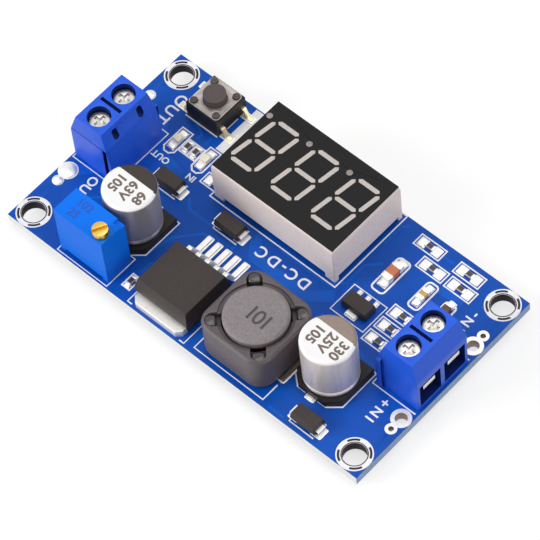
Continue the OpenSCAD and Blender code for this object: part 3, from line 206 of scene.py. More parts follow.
def grained(name, colour, grain, spread, rough, depth, sockets=None, stretch=(1, 1, 1)):
    """A finish whose colour, gloss and relief follow one grain, with its constants on the shader.

    The size of the grain and the depth of its relief are in millimetres.
    """
    made = bpy.data.materials.new(name)
    made.use_nodes = True
    tree = made.node_tree
    shader = tree.nodes["Principled BSDF"]
    shader.inputs["Base Color"].default_value = (*colour, 1)
    for key, value in (sockets or {}).items():
        shader.inputs[key].default_value = value
    place = add(tree, "ShaderNodeTexCoord").outputs["Object"]
    drawn = add(tree, "ShaderNodeMapping", {"Vector": place, "Scale": stretch})
    noise = add(tree, "ShaderNodeTexNoise", {
        "Vector": drawn.outputs["Vector"], "Scale": 1 / (grain * MM),
        "Detail": 4.0, "Roughness": 0.62})
    tone = add(tree, "ShaderNodeValToRGB", {"Fac": noise.outputs["Fac"]})
    dark_stop, light_stop = 0.32, 0.68
    stops = zip(tone.color_ramp.elements, (dark_stop, light_stop), tones(colour, spread))
    for stop, position, shade in stops:
        stop.position, stop.color = position, shade
    gloss = add(tree, "ShaderNodeMapRange", {
        "Value": noise.outputs["Fac"], "From Min": 0.3, "From Max": 0.7,
        "To Min": rough[0], "To Max": rough[1]})
    relief = add(tree, "ShaderNodeBump", {
        "Height": noise.outputs["Fac"], "Distance": depth * MM, "Strength": 0.6})
    tree.links.new(tone.outputs["Color"], shader.inputs["Base Color"])
    tree.links.new(gloss.outputs["Result"], shader.inputs["Roughness"])
    tree.links.new(relief.outputs["Normal"], shader.inputs["Normal"])
    return made


def glint(level):
    """Sockets of a surface that mirrors less than plain resin does."""
    return {"Specular IOR Level": level}


def metal(share):
    """Sockets of bare or thinly coated metal."""
    return {"Metallic": share}


def milky(share, *reach):
    """Sockets of a resin that lets light in, by its reach in millimetres for each colour."""
    return {"Subsurface Weight": share, "Subsurface Radius": [way * MM for way in reach]}


# Each row: what the finish is and how it was made, its grain in millimetres, the spread of its
# tone, its smoothest and roughest roughness, the depth of its relief in millimetres, the shader's
# own sockets, and how the grain is squeezed along each axis. Its colour goes by the same name.
FINISHES = {
    # Solder mask is a cured lacquer: deep and glossy, with slow changes of tone and a faint ripple.
    "mask": ("Epoxy lacquer, screen coated and cured",
             9.0, 0.12, (0.28, 0.38), 0.01, glint(0.2)),
    # The same lacquer reads paler and flatter where bright copper lies under it.
    "mask_copper": ("Epoxy lacquer over copper, screen coated",
                    6.0, 0.08, (0.28, 0.38), 0.01, glint(0.2)),
    # Snapped glass epoxy shows pale fibre layers along the edge, dry and matt.
    "laminate": ("Glass epoxy laminate, scored and snapped",
                 0.6, 0.08, (0.6, 0.8), 0.02, {}, (0.2, 0.2, 3.0)),
    # The short ends are routed, and take a shaded copy of the pale laminate: their darker, bluer
    # tone is painted shade.
    "routed": ("Glass epoxy laminate, routed",
               0.3, 0.16, (0.6, 0.75), 0.02, glint(0.2), (1, 1, 0.2)),
    # Drilled laminate has no shine. Its dark colour is painted shade on the walls and rims of the
    # mounting holes, and also the colour of the dark slots in the hole rings.
    "bare": ("Glass epoxy laminate, drilled", 0.3, 0.15, (0.6, 0.8), 0.02, glint(0.2)),
    # The barrel of a wire hole is dull tin over copper, warm where the tin is thin, and its colour
    # is darkened as painted shade inside the hole.
    "plated": ("Copper barrel, tinned", 0.3, 0.15, (0.4, 0.6), 0.02, metal(0.6)),
    # Screen ink is dense white, matt, and a little uneven where the screen left it thin.
    "ink": ("Epoxy ink, screen printed", 0.7, 0.05, (0.5, 0.65), 0.005),
    # Reflowed tin is soft bright metal with a frosty skin.
    "tin": ("Tin solder, reflowed", 0.45, 0.05, (0.36, 0.52), 0.02, metal(0.6)),
    # Moulded nylon has a soft sheen, a faint texture from the tool and slow clouding.
    "terminal": ("Nylon, injection moulded", 0.5, 0.06, (0.32, 0.44), 0.012, glint(0.35)),
    # Painted shade: the walls of the wells, slots, grooves and entries take a darker, matt nylon
    # that stands for the shade that falls in them.
    "recess": ("Nylon, moulded on a spark eroded core",
               0.35, 0.1, (0.55, 0.7), 0.02, glint(0.15)),
    # Zinc on steel is bright and slightly brushed by handling.
    "steel": ("Steel, zinc plated", 0.4, 0.07, (0.22, 0.38), 0.012, metal(1.0), (1, 4, 1)),
    # Bent strip is duller than the screws, with a dry dark skin. The inductor's terminals take the
    # same colour as painted shade.
    "cage": ("Steel strip, bent and blackened", 0.4, 0.1, (0.4, 0.55), 0.012, metal(0.8)),
    # Rolled sheet is an even satin grey, with bright pressed edges.
    "cover": ("Steel sheet, rolled and pressed",
              0.5, 0.06, (0.34, 0.46), 0.01, metal(0.75), (1, 4, 1)),
    # The display's shell is a filled resin: pale, warm, with a satin skin.
    "shell": ("Polycarbonate, moulded and filled",
              0.8, 0.04, (0.38, 0.5), 0.01, milky(0.05, 1.0, 0.8, 0.6)),
    # The face is rolled black ink over resin: an even black with a fine dry tooth.
    "face": ("Black ink, rolled on resin", 0.35, 0.16, (0.45, 0.6), 0.012, glint(0.2)),
    # Milky epoxy fills each segment flush: soft light goes a little way in.
    "segment": ("Epoxy, cast milky", 0.6, 0.05, (0.3, 0.42), 0.008, milky(0.15, 0.6, 0.5, 0.4)),
    # The points hold less of the same filler, and read as smoke.
    "dot": ("Epoxy, cast smoky", 0.6, 0.06, (0.3, 0.42), 0.008),
    # Black nylon from a polished tool is dark with a low, even gloss.
    "button": ("Nylon, moulded black", 0.3, 0.15, (0.4, 0.55), 0.012, glint(0.25)),
    # The plunger takes the tool's spark texture: a dull, warm black.
    "plunger": ("Nylon, spark textured", 0.25, 0.12, (0.5, 0.62), 0.015, glint(0.3)),
    # Thin gold keeps the metal's gloss with a warm pale tint.
    "gilt": ("Brass, flash gilt", 0.4, 0.06, (0.25, 0.38), 0.01, metal(0.9)),
    # Filled thermoset has a dry matt skin with a fine sandy tooth.
    "trimmer": ("Thermoset resin, compression moulded",
                0.3, 0.07, (0.42, 0.56), 0.02, glint(0.12)),
    # Pad ink lies thin and flat, a shade darker than the case.
    "trimmer_mark": ("Dark blue ink, pad printed", 0.4, 0.08, (0.45, 0.55), 0.004),
    # Turned brass is warm and bright, with a fine grain from the tool.
    "brass": ("Brass, turned and slotted", 0.25, 0.08, (0.24, 0.36), 0.012, metal(0.95)),
    # Drawn aluminium is pale and satin, with faint upright lines from the die.
    # The two cans are lit and shaded copies of it: painted shade darkens the output can and painted
    # light brightens the input can.
    "out_can": ("Aluminium, drawn, out",
                0.5, 0.05, (0.38, 0.5), 0.008, metal(0.55), (1, 1, 0.12)),
    "in_can": ("Aluminium, drawn, in",
               0.5, 0.05, (0.38, 0.5), 0.008, metal(0.55), (1, 1, 0.12)),
    # The lip rolled over the base is pale aluminium, raised to near white as a painted highlight
    # along the can's foot.
    "lip": ("Aluminium, rolled", 0.5, 0.04, (0.3, 0.4), 0.006, metal(0.3)),
    # Laminated film is a flat clean white with a light gloss.
    "sleeve": ("Polyester film, laminated white", 0.8, 0.02, (0.4, 0.5), 0.004),
    # Pad inks on the film are thin, dense and slightly blotched.
    "out_mark": ("Dark ink, pad printed", 0.6, 0.08, (0.4, 0.5), 0.004),
    "digits": ("Grey brown ink, pad printed", 0.6, 0.1, (0.4, 0.5), 0.004),
    "in_mark": ("Brown ink, pad printed", 0.6, 0.08, (0.4, 0.5), 0.004),
    # Transfer moulded epoxy is charcoal with silica specks, drawn coarser than real ones to show.
    "mould": ("Epoxy compound, transfer moulded", 0.28, 0.16, (0.42, 0.58), 0.02, glint(0.3)),
    # Pressed and fired ferrite is a hard grey ceramic with dark pits, drawn coarse enough to show.
    "ferrite": ("Ferrite, pressed and fired", 0.4, 0.14, (0.34, 0.5), 0.025, glint(0.35)),
    # Grinding leaves the drum's top paler, drier and speckled.
    "drum": ("Ferrite, ground flat", 0.3, 0.18, (0.45, 0.6), 0.03, glint(0.35)),
    # Ink on ground ferrite sinks into the pits, so it is dull and broken.
    "drum_mark": ("Dark grey ink, pad printed", 0.3, 0.2, (0.5, 0.6), 0.01),
    # Cured glue stays wet looking: dark, smooth and domed.
    "glue": ("Epoxy glue, cured",
             1.2, 0.1, (0.14, 0.2), 0.01, {"Coat Weight": 0.4, "Coat Roughness": 0.1}),
    # Enamelled wire keeps copper's colour under a clear brown varnish.
    "copper": ("Copper wire, enamelled", 0.5, 0.08, (0.25, 0.35), 0.01, metal(0.9), (1, 1, 5)),
    # Fired alumina is a pale dry ceramic, which shows beside the glaze.
    "alumina": ("Alumina, fired and snapped", 0.3, 0.06, (0.5, 0.65), 0.015),
    # Fired glass glaze over alumina: near black, smooth with a faint waviness.
    "glaze": ("Glass glaze on alumina, fired", 0.5, 0.12, (0.25, 0.38), 0.01),
    # Sintered ceramic is dense and smooth, with a waxy gloss and a tone of its own for each mix.
    "large_ceramic": ("Titanate ceramic, sintered brown", 0.4, 0.08, (0.35, 0.5), 0.012),
    "small_ceramic": ("Titanate ceramic, sintered tan", 0.4, 0.08, (0.35, 0.5), 0.012),
    "dark_ceramic": ("Titanate ceramic, sintered dark", 0.4, 0.1, (0.35, 0.5), 0.012),
    # Cast clear epoxy over a phosphor: creamy, with light carried inside it.
    "lens": ("Epoxy, cast over phosphor",
             0.9, 0.05, (0.16, 0.26), 0.006, milky(0.4, 0.8, 0.7, 0.4)),
}


@cache
def finishes():
    """Every finish of the part, by the name of its colour."""
    tint = bpy.context.scene.converter_colours
    return {key: grained(name, getattr(tint, key), *rest)
            for key, (name, *rest) in FINISHES.items()}


# Mesh helpers

def placed(name, data):
    """A new object in the scene."""
    made = bpy.data.objects.new(name, data)
    bpy.context.scene.collection.objects.link(made)
    return made


def piece(name, mesh):
    """Make a mesh a piece that rides on the board."""
    return settle(placed(name, mesh))


def settle(made, body="board", nodes=()):
    """Tell the frame what a piece rides on and which solids it stands for."""
    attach(made, body)
    if nodes:
        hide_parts(*nodes)
    return made


def welded(node):
    """A copy of a solid's triangles with shared corners and whole flat faces."""
    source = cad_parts[node].data
    weld, level = 2e-7, radians(0.4)
    shape = bmesh.new()
    corners = [shape.verts.new(v.co) for v in source.vertices]
    for face in source.polygons:
        shape.faces.new([corners[i] for i in face.vertices])
    bmesh.ops.remove_doubles(shape, verts=shape.verts, dist=weld)
    bmesh.ops.dissolve_limit(shape, angle_limit=level, verts=shape.verts, edges=shape.edges)
    bmesh.ops.triangulate(shape, faces=[face for face in shape.faces if len(face.verts) > 4])
    return shape


def kept(shape, name, *finish_names):
    """Turn a working shape into a mesh that carries the named finishes."""
    mesh = bpy.data.meshes.new(name)
    shape.to_mesh(mesh)
    shape.free()
    for key in finish_names:
        mesh.materials.append(finishes()[key])
    return mesh


def baked(made):
    """Turn a piece's modifiers into plain mesh."""
    graph = bpy.context.evaluated_depsgraph_get()
    mesh = bpy.data.meshes.new_from_object(made.evaluated_get(graph))
    made.modifiers.clear()
    made.data = mesh
    return made


def softened(node, edge, slot, *finish_names, body="board", steps=2, angle=32, crisp=None):
    """Dress a solid: the same shape in its place, its edges rounded where crisp doesn't hold."""
    shape = welded(node)
    weight = shape.edges.layers.float.new("bevel_weight_edge")
    for side in shape.edges:
        spot = (side.verts[0].co + side.verts[1].co) / 2
        if side.calc_face_angle(0) > radians(angle) and not (crisp and crisp(spot)):
            side[weight] = 1
    made = placed("dressed_" + node, kept(shape, node, *finish_names))
    for face in made.data.polygons:
        face.use_smooth = True
    if edge:
        rounding = made.modifiers.new("Rounded edges", "BEVEL")
        rounding.width, rounding.segments = edge, steps
        rounding.limit_method, rounding.use_clamp_overlap = "WEIGHT", True
    else:
        made.data.set_sharp_from_angle(angle=radians(angle))
    even = made.modifiers.new("Flat faces stay flat", "WEIGHTED_NORMAL")
    even.keep_sharp = True
    return settle(baked(made), body, [node])


def solids(node):
    """The boxes of a node's separate solids, as pairs of corners."""
    shape = welded(node)
    waiting = set(shape.verts)
    boxes = []
    while waiting:
        group, fringe = set(), {waiting.pop()}
        while fringe:
            corner = fringe.pop()
            group.add(corner)
            near = {edge.other_vert(corner) for edge in corner.link_edges} & waiting
            waiting -= near
            fringe |= near
        sides = list(zip(*[v.co for v in group]))
        boxes.append((Vector(map(min, sides)), Vector(map(max, sides))))
    shape.free()
    return sorted(boxes, key=lambda box: tuple(box[0]))


def plate(shape, outline, bottom, height, number=0):
    """Add a flat closed plate to a working shape, from an outline and a height."""
    low = [shape.verts.new((x, y, bottom)) for x, y in outline]
    high = [shape.verts.new((x, y, bottom + height)) for x, y in outline]
    faces = [shape.faces.new(high), shape.faces.new(low[::-1])]
    for i, corner in enumerate(low):
        j = (i + 1) % len(low)
        faces.append(shape.faces.new((corner, low[j], high[j], high[i])))
    for face in faces:
        face.material_index = number
    bmesh.ops.recalc_face_normals(shape, faces=faces)


def lettering(shape, words, height, middle, turn, bottom, thick, number=0, bold=0.0, spacing=1.0):
    """Add raised letters to a working shape, lying flat, centred on a point and turned."""
    cap_share, weld = 0.69, 1e-7
    curve = bpy.data.curves.new(words, "FONT")
    curve.body, curve.size, curve.extrude = words, height / cap_share, thick / 2
    curve.align_x, curve.align_y, curve.resolution_u = "CENTER", "CENTER", 4
    curve.offset, curve.space_character = bold, spacing
    carrier = placed(words, curve)
    graph = bpy.context.evaluated_depsgraph_get()
    mesh = bpy.data.meshes.new_from_object(carrier.evaluated_get(graph))
    bpy.data.objects.remove(carrier)
    spot = Matrix.Translation((*middle, bottom + thick / 2)) @ Matrix.Rotation(turn, 4, "Z")
    mesh.transform(spot)
    for face in mesh.polygons:
        face.material_index = number
    shape.from_mesh(mesh)
    bpy.data.meshes.remove(mesh)
    bmesh.ops.remove_doubles(shape, verts=shape.verts, dist=weld)


def rectangle(low, high, margin_x=0.0, margin_y=0.0):
    """Corners of a box's plan with a margin, as a closed line."""
    x0, y0, x1, y1 = low.x - margin_x, low.y - margin_y, high.x + margin_x, high.y + margin_y
    return [(x0, y0), (x1, y0), (x1, y1), (x0, y1), (x0, y0)]


def arc(middle, radius, start, sweep, steps):
    """Points of an arc."""
    return [(middle[0] + radius * cos(start + sweep * i / steps),
             middle[1] + radius * sin(start + sweep * i / steps)) for i in range(steps + 1)]


def circle(middle, radius, steps):
    """Points of a circle, as a closed line."""
    points = arc(middle, radius, 0, 2 * pi, steps)
    return points[:-1] + points[:1]


def rounded(low, high, margin_x, near, far, radius):
    """A closed line round a chip that stands along Y, with rounded corners."""
    x0, y0, x1, y1 = low.x - margin_x, low.y - near, high.x + margin_x, high.y + far
    corners = ((x1 - radius, y1 - radius), (x0 + radius, y1 - radius),
               (x0 + radius, y0 + radius), (x1 - radius, y0 + radius))
    line = [point for k, corner in enumerate(corners)
            for point in arc(corner, radius, k * pi / 2, pi / 2, 5)]
    return line + line[:1]


def in_metres(line):
    """A line given in millimetres, in metres."""
    return [(x * MM, y * MM) for x, y in line]


def wire_mesh(name, lines, height):
    """Edges that follow flat lines at one height. A line that ends where it began is closed."""
    corners, edges = [], []
    for line in lines:
        first = len(corners)
        closed = line[0] == line[-1]
        corners += [(x, y, height) for x, y in (line[:-1] if closed else line)]
        last = len(corners) - 1
        edges += [(i, i + 1) for i in range(first, last)]
        if closed:
            edges.append((last, first))
    mesh = bpy.data.meshes.new(name)
    mesh.from_pydata(corners, edges, [])
    return mesh


# Geometry Nodes

def new_tree(name, inputs):
    """A Geometry Nodes tree with named inputs, and its input and output nodes."""
    tree = bpy.data.node_groups.new(name, "GeometryNodeTree")
    tree.interface.new_socket("Geometry", in_out="INPUT", socket_type="NodeSocketGeometry")
    for title, kind in inputs.items():
        tree.interface.new_socket(title, in_out="INPUT", socket_type=kind)
    tree.interface.new_socket("Geometry", in_out="OUTPUT", socket_type="NodeSocketGeometry")
    return tree, add(tree, "NodeGroupInput").outputs, add(tree, "NodeGroupOutput").inputs


@cache
def ribbon_tree():
    """Lines to flat ribbons: printed lines, copper runs and the rings round holes."""
    tree, given, result = new_tree("Flat ribbon along lines", {
        "Width": "NodeSocketFloat", "Height": "NodeSocketFloat", "Finish": "NodeSocketMaterial"})
    paths = add(tree, "GeometryNodeMeshToCurve", {"Mesh": given["Geometry"]})
    level = add(tree, "GeometryNodeSetCurveNormal", {"Curve": paths.outputs["Curve"]}, mode="Z_UP")
    section = add(tree, "GeometryNodeCurvePrimitiveQuadrilateral", {
        "Width": given["Width"], "Height": given["Height"]})
    ribbon = add(tree, "GeometryNodeCurveToMesh", {
        "Curve": level.outputs["Curve"], "Profile Curve": section.outputs["Curve"],
        "Fill Caps": True})
    flat = add(tree, "GeometryNodeSetShadeSmooth", {
        "Geometry": ribbon.outputs["Mesh"], "Shade Smooth": False})
    whole = add(tree, "GeometryNodeRealizeInstances", {"Geometry": flat.outputs["Geometry"]})
    dressed = add(tree, "GeometryNodeSetMaterial", {
        "Geometry": whole.outputs["Geometry"], "Material": given["Finish"]})
    tree.links.new(dressed.outputs["Geometry"], result["Geometry"])
    return tree


@cache
def mound_tree():
    """Points to rounded mounds of their own size and turn: tinned pads, solder and glue."""
    tree, given, result = new_tree("Rounded mounds on points", {
        "Squareness": "NodeSocketFloat", "Finish": "NodeSocketMaterial"})
    block = add(tree, "GeometryNodeMeshCube", {"Size": (1, 1, 1)})
    mound = add(tree, "GeometryNodeSubdivisionSurface", {
        "Mesh": block.outputs["Mesh"], "Level": 3, "Edge Crease": given["Squareness"]})
    size, turn = (add(tree, "GeometryNodeInputNamedAttribute", {"Name": title},
                      data_type="FLOAT_VECTOR") for title in ("mound_size", "mound_turn"))
    copies = add(tree, "GeometryNodeInstanceOnPoints", {
        "Points": given["Geometry"], "Instance": mound.outputs["Mesh"],
        "Rotation": turn.outputs["Attribute"], "Scale": size.outputs["Attribute"]})
    whole = add(tree, "GeometryNodeRealizeInstances", {"Geometry": copies.outputs["Instances"]})
    smooth = add(tree, "GeometryNodeSetShadeSmooth", {"Geometry": whole.outputs["Geometry"]})
    dressed = add(tree, "GeometryNodeSetMaterial", {
        "Geometry": smooth.outputs["Geometry"], "Material": given["Finish"]})
    tree.links.new(dressed.outputs["Geometry"], result["Geometry"])
    return tree


def grown(name, mesh, tree, values):
    """Run a tree on a mesh, with its inputs by name, and keep the result as a plain piece."""
    made = placed(name, mesh)
    step = made.modifiers.new(tree.name, "NODES")
    step.node_group = tree
    keys = {item.name: item.identifier for item in tree.interface.items_tree
            if item.in_out == "INPUT"}
    for title, value in values.items():
        step[keys[title]] = value
    return settle(baked(made))


def ribbons(name, lines, bottom, width, height, finish_name):
    """Flat ribbons along lines that lie on a level."""
    return grown(name, wire_mesh(name, lines, bottom + height / 2), ribbon_tree(),
                 {"Width": width, "Height": height, "Finish": finishes()[finish_name]})


def mounds(name, rows, squareness, finish_name):
    """Rounded mounds, each row a middle, a size and a turn about the upright axis."""
    mesh = bpy.data.meshes.new(name)
    mesh.from_pydata([middle for middle, size, turn in rows], [], [])
    sizes = mesh.attributes.new("mound_size", "FLOAT_VECTOR", "POINT")
    turns = mesh.attributes.new("mound_turn", "FLOAT_VECTOR", "POINT")
    for i, (middle, size, turn) in enumerate(rows):
        sizes.data[i].vector = size
        turns.data[i].vector = (0, 0, turn)
    return grown(name, mesh, mound_tree(),
                 {"Squareness": squareness, "Finish": finishes()[finish_name]})


# The board and what is printed on it

HOLE_INSET = 2.65 * MM
MOUNTING_HOLE = 3.5 * MM
WIRE_HOLES = in_metres([(31.5, -7.15), (31.5, 7.75), (-31.5, -7.15), (-31.5, 7.75)])
TEST_HOLES = in_metres([(31.5, -9.25), (31.5, 9.85), (-31.5, -9.25), (-31.5, 9.85)])
WIRE_HOLE, WIRE_PAD = 1.8 * MM, 3.0 * MM
TEST_HOLE, TEST_PAD = 0.8 * MM, 1.75 * MM

# Middle lines of the copper runs in millimetres, from above.
WIDE_RUNS = [
    [(-31.5, -7.15), (-27.5, -3.2), (-22.0, -3.2), (-17.5, -7.8)],
    [(-31.5, 7.75), (-27.0, 7.75), (-24.4, 3.6), (-18.6, 2.4)],
    [(30.2, -6.25), (27.6, -4.4), (24.6, -4.4), (20.0, -3.6), (14.0, -3.2)],
    [(29.9, 7.75), (26.2, 7.75), (25.2, 12.0), (22.0, 12.0)],
    [(-8.6, 1.9), (-3.4, 1.9), (-1.2, -0.9), (8.7, -0.9), (11.6, 1.6)],
]
FINE_RUNS = [
    [(-19.5, 8.7), (-19.5, 10.2), (-17.2, 12.4), (-12.9, 12.4)],
    [(-21.05, 8.7), (-21.05, 9.6), (-24.6, 11.4), (-26.6, 11.4), (-26.6, 17.0), (-12.9, 17.0)],
    [(-15.2, -12.0), (-13.2, -10.6), (-12.4, -6.0), (-9.4, -2.6), (-8.0, -2.6)],
    [(-11.7, -12.9), (-11.7, -11.0), (-10.6, -9.9)],
    [(-4.6, -2.0), (-4.6, -0.9), (-13.6, -0.9), (-15.0, 0.5)],
    [(1.0, 2.4), (9.6, 2.4), (11.4, 4.2), (11.4, 8.0), (13.2, 9.8)],
    [(12.0, 16.9), (11.2, 16.1), (11.2, 12.4)],
    [(18.9, 16.1), (20.8, 16.1)],
    [(21.6, 13.5), (21.9, 13.5)],
    [(18.9, -1.4), (17.9, -1.75), (12.0, -1.75)],
    [(23.4, -0.2), (24.2, 0.6), (24.2, 6.6)],
    [(23.2, 2.4), (23.5, 2.7), (23.5, 5.6), (22.4, 6.7)],
    [(-26.2, -12.4), (-26.2, -8.8), (-23.6, -6.2), (-22.6, -6.2)],
    [(16.4, -17.3), (19.2, -17.3)],
]
# Under the board the runs are mirrored along Y and the pads aren't, so the first wide runs start
# where a pad covers their ends.
STARTS_BELOW = [(-30.9, -6.55), (-30.4, 7.75), (30.6, -6.7), (30.35, 7.75)]


def mounting_holes():
    """Middles of the four mounting holes."""
    return [(x, y) for x in (BOARD_LOW.x + HOLE_INSET, BOARD_HIGH.x - HOLE_INSET)
            for y in (BOARD_LOW.y + HOLE_INSET, BOARD_HIGH.y - HOLE_INSET)]


def finish_walls(board):
    """Give the board's walls their finishes: snapped long edges, short edges in painted shade, and
    drilled and plated holes whose walls are darkened as painted shade.
    """
    snapped, drilled, plated, routed = 1, 2, 3, 4
    reach, flat, endways = 0.3 * MM, 0.75, 0.7
    for face in board.data.polygons:
        if abs(face.normal.z) >= flat:
            continue
        x, y = face.center.xy
        # Short edges take painted shade; long edges keep the pale laminate.
        if min(abs(abs(x) - BOARD_HIGH.x), abs(abs(y) - BOARD_HIGH.y)) < reach:
            face.material_index = routed if abs(face.normal.x) > endways else snapped
        # Mounting hole walls take the dark colour as painted shade.
        elif any((x - i) ** 2 + (y - j) ** 2 < MOUNTING_HOLE ** 2 for i, j in mounting_holes()):
            face.material_index = drilled
        # Wire hole walls: tin, darkened as painted shade.
        else:
            face.material_index = plated


def make_runs(sizes):
    """Copper runs on both faces, which show as raised lacquer."""
    below = [[start] + line[1:] for start, line in zip(STARTS_BELOW, WIDE_RUNS)]
    below += WIDE_RUNS[len(STARTS_BELOW):] + FINE_RUNS
    below = [[(x, -y) for x, y in line] for line in below]
    rise = sizes.trace_height
    for name, lines, level, width in (("wide", WIDE_RUNS, DECK, 1.9 * MM),
                                      ("fine", FINE_RUNS, DECK, 0.45 * MM),
                                      ("below", below, UNDERSIDE, 0.7 * MM)):
        ribbons("copper_runs_" + name, [in_metres(line) for line in lines], level - rise / 2,
                width, rise, "mask_copper")


def make_rings(sizes):
    """Rings and pads round the holes and the pins, the dark slots in the mounting rings, and a dark
    rim of painted shade round each mounting hole.
    """
    tin, film = sizes.pad_height, sizes.pad_height / 2
    # Each row: the rings, their middles, the hole, the ring's outside, its height, how far down its
    # lower face lies under the board, its steps and its finish.
    rows = (("hole_rings_", mounting_holes(), MOUNTING_HOLE, MOUNTING_HOLE + 2 * sizes.ring_width,
             film, tin, 64, "ink"),
            ("wire_pads_", WIRE_HOLES, WIRE_HOLE, WIRE_PAD, tin, tin, 48, "tin"),
            ("test_pads_", TEST_HOLES, TEST_HOLE, TEST_PAD, film, film, 40, "tin"))
    for side in ("top", "under"):
        for name, spots, hole, outside, height, drop, steps, finish_name in rows:
            rings = [circle(spot, (hole + outside) / 4, steps) for spot in spots]
            ribbons(name + side, rings, DECK if side == "top" else UNDERSIDE - drop,
                    (outside - hole) / 2, height, finish_name)
    tail_pad, skin = 0.3 * MM, 0.02 * MM
    rings = [circle((low + high) / 2, (high - low).x / 2, 32)
             for low, high in solids("tail_solder")]
    ribbons("tail_pads", rings, UNDERSIDE - tin, tail_pad, tin, "tin")
    dash_radius, dash_width, dash_start, dash_sweep = 2.25 * MM, 0.32 * MM, 22.5, 45
    dashes = [arc(spot, dash_radius, radians(dash_start + 90 * k), radians(dash_sweep), 8)
              for spot in mounting_holes() for k in range(4)]
    ribbons("ring_dashes", dashes, DECK + film, dash_width, skin, "bare")
    # A dark rim round the edge of each mounting hole is painted shade of the hole's wall.
    rim_radius, rim_width = MOUNTING_HOLE / 2 + 0.1 * MM, 0.14 * MM
    rims = [circle(spot, rim_radius, 64) for spot in mounting_holes()]
    ribbons("hole_edges", rims, DECK + film, rim_width, skin, "bare")


def make_board(sizes):
    """The board with its lacquer, edges and holes, and its copper runs, rings and solder."""
    board = softened("circuit_board", 0.04 * MM, "board_laminate",
                     "mask", "laminate", "bare", "plated", "routed", angle=40)
    finish_walls(board)
    make_runs(sizes)
    make_rings(sizes)
    # Solder stands in domes on the holes at the output end.
    domes = [((*spot, DECK), (width * MM, width * MM, height * MM), 0)
             for holes, width, height in ((WIRE_HOLES, 3.2, 1.0), (TEST_HOLES, 1.9, 0.8))
             for spot in holes if spot[0] < 0]
    mounds("output_pad_solder", domes, 0.0, "tin")
    softened("tail_solder", 0.05 * MM, "solder", "tin")
    softened("wire_solder", 0.12 * MM, "solder", "tin")


def lies_along_x(low, high):
    """Whether a chip is longer along X than along Y."""
    return (high - low).x > (high - low).y


def bold_outlines():
    """Bolder printed boxes, round the display, the chip parts and the indicator lights."""
    along_x, along_y = (1.8 * MM, 0.62 * MM), (0.36 * MM, 0.7 * MM)
    side, bend = 0.34 * MM, 0.6 * MM
    lines = [rectangle(*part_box("display_shell"), 0.4 * MM, 0.5 * MM)]
    for low, high in solids("chip_resistors"):
        lines.append(rectangle(low, high, *(along_x if lies_along_x(low, high) else along_y)))
    nears, fars = (2.2, 1.75, 1.2), (1.5, 1.75, 0.9)
    for (low, high), near, far in zip(solids("ceramic_caps"), nears, fars):
        lines.append(rounded(low, high, side, near * MM, far * MM, bend))
    half, cut = 1.0 * MM, 0.6 * MM
    for low, high in solids("indicator_bases"):
        mid, near, far = (low.x + high.x) / 2, low.y - 1.5 * MM, high.y + 1.1 * MM
        lines.append([(mid + x, y) for x, y in (
            (-half, far), (-half, near + cut), (cut - half, near), (half - cut, near),
            (half, near + cut), (half, far), (-half, far))])
    return lines


def can_outline(end):
    """Printed outline of a capacitor: two cut corners, and gaps where its leads come out."""
    low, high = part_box(end + "_cap_base")
    mid, side, cut, gap = (low + high) / 2, 4.34 * MM, 1.74 * MM, 1.1 * MM
    far, near = 4.3 * MM, -4.08 * MM
    line = [(-gap, far), (-side, far), (-side, cut - side), (cut - side, near), (-gap, near)]
    return [[(mid.x + flip * x, mid.y + y) for x, y in line] for flip in (1, -1)]


def package_outlines():
    """Printed lines beside the larger parts."""
    behind, out_side, in_side = 0.15 * MM, 0.45 * MM, 0.25 * MM
    lines = [rectangle(*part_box("out_terminal_housing"), behind, out_side)] + can_outline("out")
    low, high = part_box("in_terminal_housing")
    back, y0, y1 = low.x - behind, low.y - in_side, high.y + in_side
    lines.append([(high.x, y0), (back, y0), (back, y1), (high.x, y1)])
    lines += can_outline("in")
    for node, more_x, more_y in (("trimmer_body", 0.2, 0.55), ("aux_regulator", 0.75, 1.3)):
        lines.append(rectangle(*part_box(node), more_x * MM, more_y * MM))
    for name in DIODES:
        low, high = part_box(name)
        start, margin, stub = low.x - 0.1 * MM, 0.05 * MM, 0.5 * MM
        for y, turn in ((low.y - margin, 1), (high.y + margin, -1)):
            lines.append([(start, y + stub * turn), (start, y), (high.x, y)])
    low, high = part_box("inductor_shield")
    margin, stub = 0.32 * MM, 3.0 * MM
    x0, x1 = low.x - margin, high.x + margin
    for y, turn in ((low.y - margin, 1), (high.y + margin, -1)):
        lines.append([(x0, y + stub * turn), (x0, y), (x1, y), (x1, y + stub * turn)])
    low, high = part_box("regulator_mould")
    bracket = in_metres([(5.35, -7.4), (5.35, -17.5), (4.5, -17.5)])
    lines += [[((low.x + high.x) / 2 + flip * x, y) for x, y in bracket] for flip in (1, -1)]
    # Two sides of the push button.
    lines.append(in_metres([(-25.24, 10.65), (-19.03, 10.65)]))
    lines.append(in_metres([(-18.94, 12.67), (-18.94, 14.89)]))
    return lines


def meets(one, two, gap):
    """Whether the boxes round two flat lines come within a gap of each other."""
    return all(min(p[i] for p in one) - gap < max(p[i] for p in two)
               and min(p[i] for p in two) - gap < max(p[i] for p in one) for i in (0, 1))


def print_lines(name, lines, width, height):
    """Print lines in two layers, so that lines that cross never lie at one height."""
    upper_height = 1.6 * height
    upper, lower = [], []
    for line in lines:
        crossed = any(meets(line, other, width) for other in upper)
        (lower if crossed else upper).append(line)
    ribbons(name, upper, DECK, width, upper_height, "ink")
    ribbons(name + "_lower", lower, DECK, width, height, "ink")


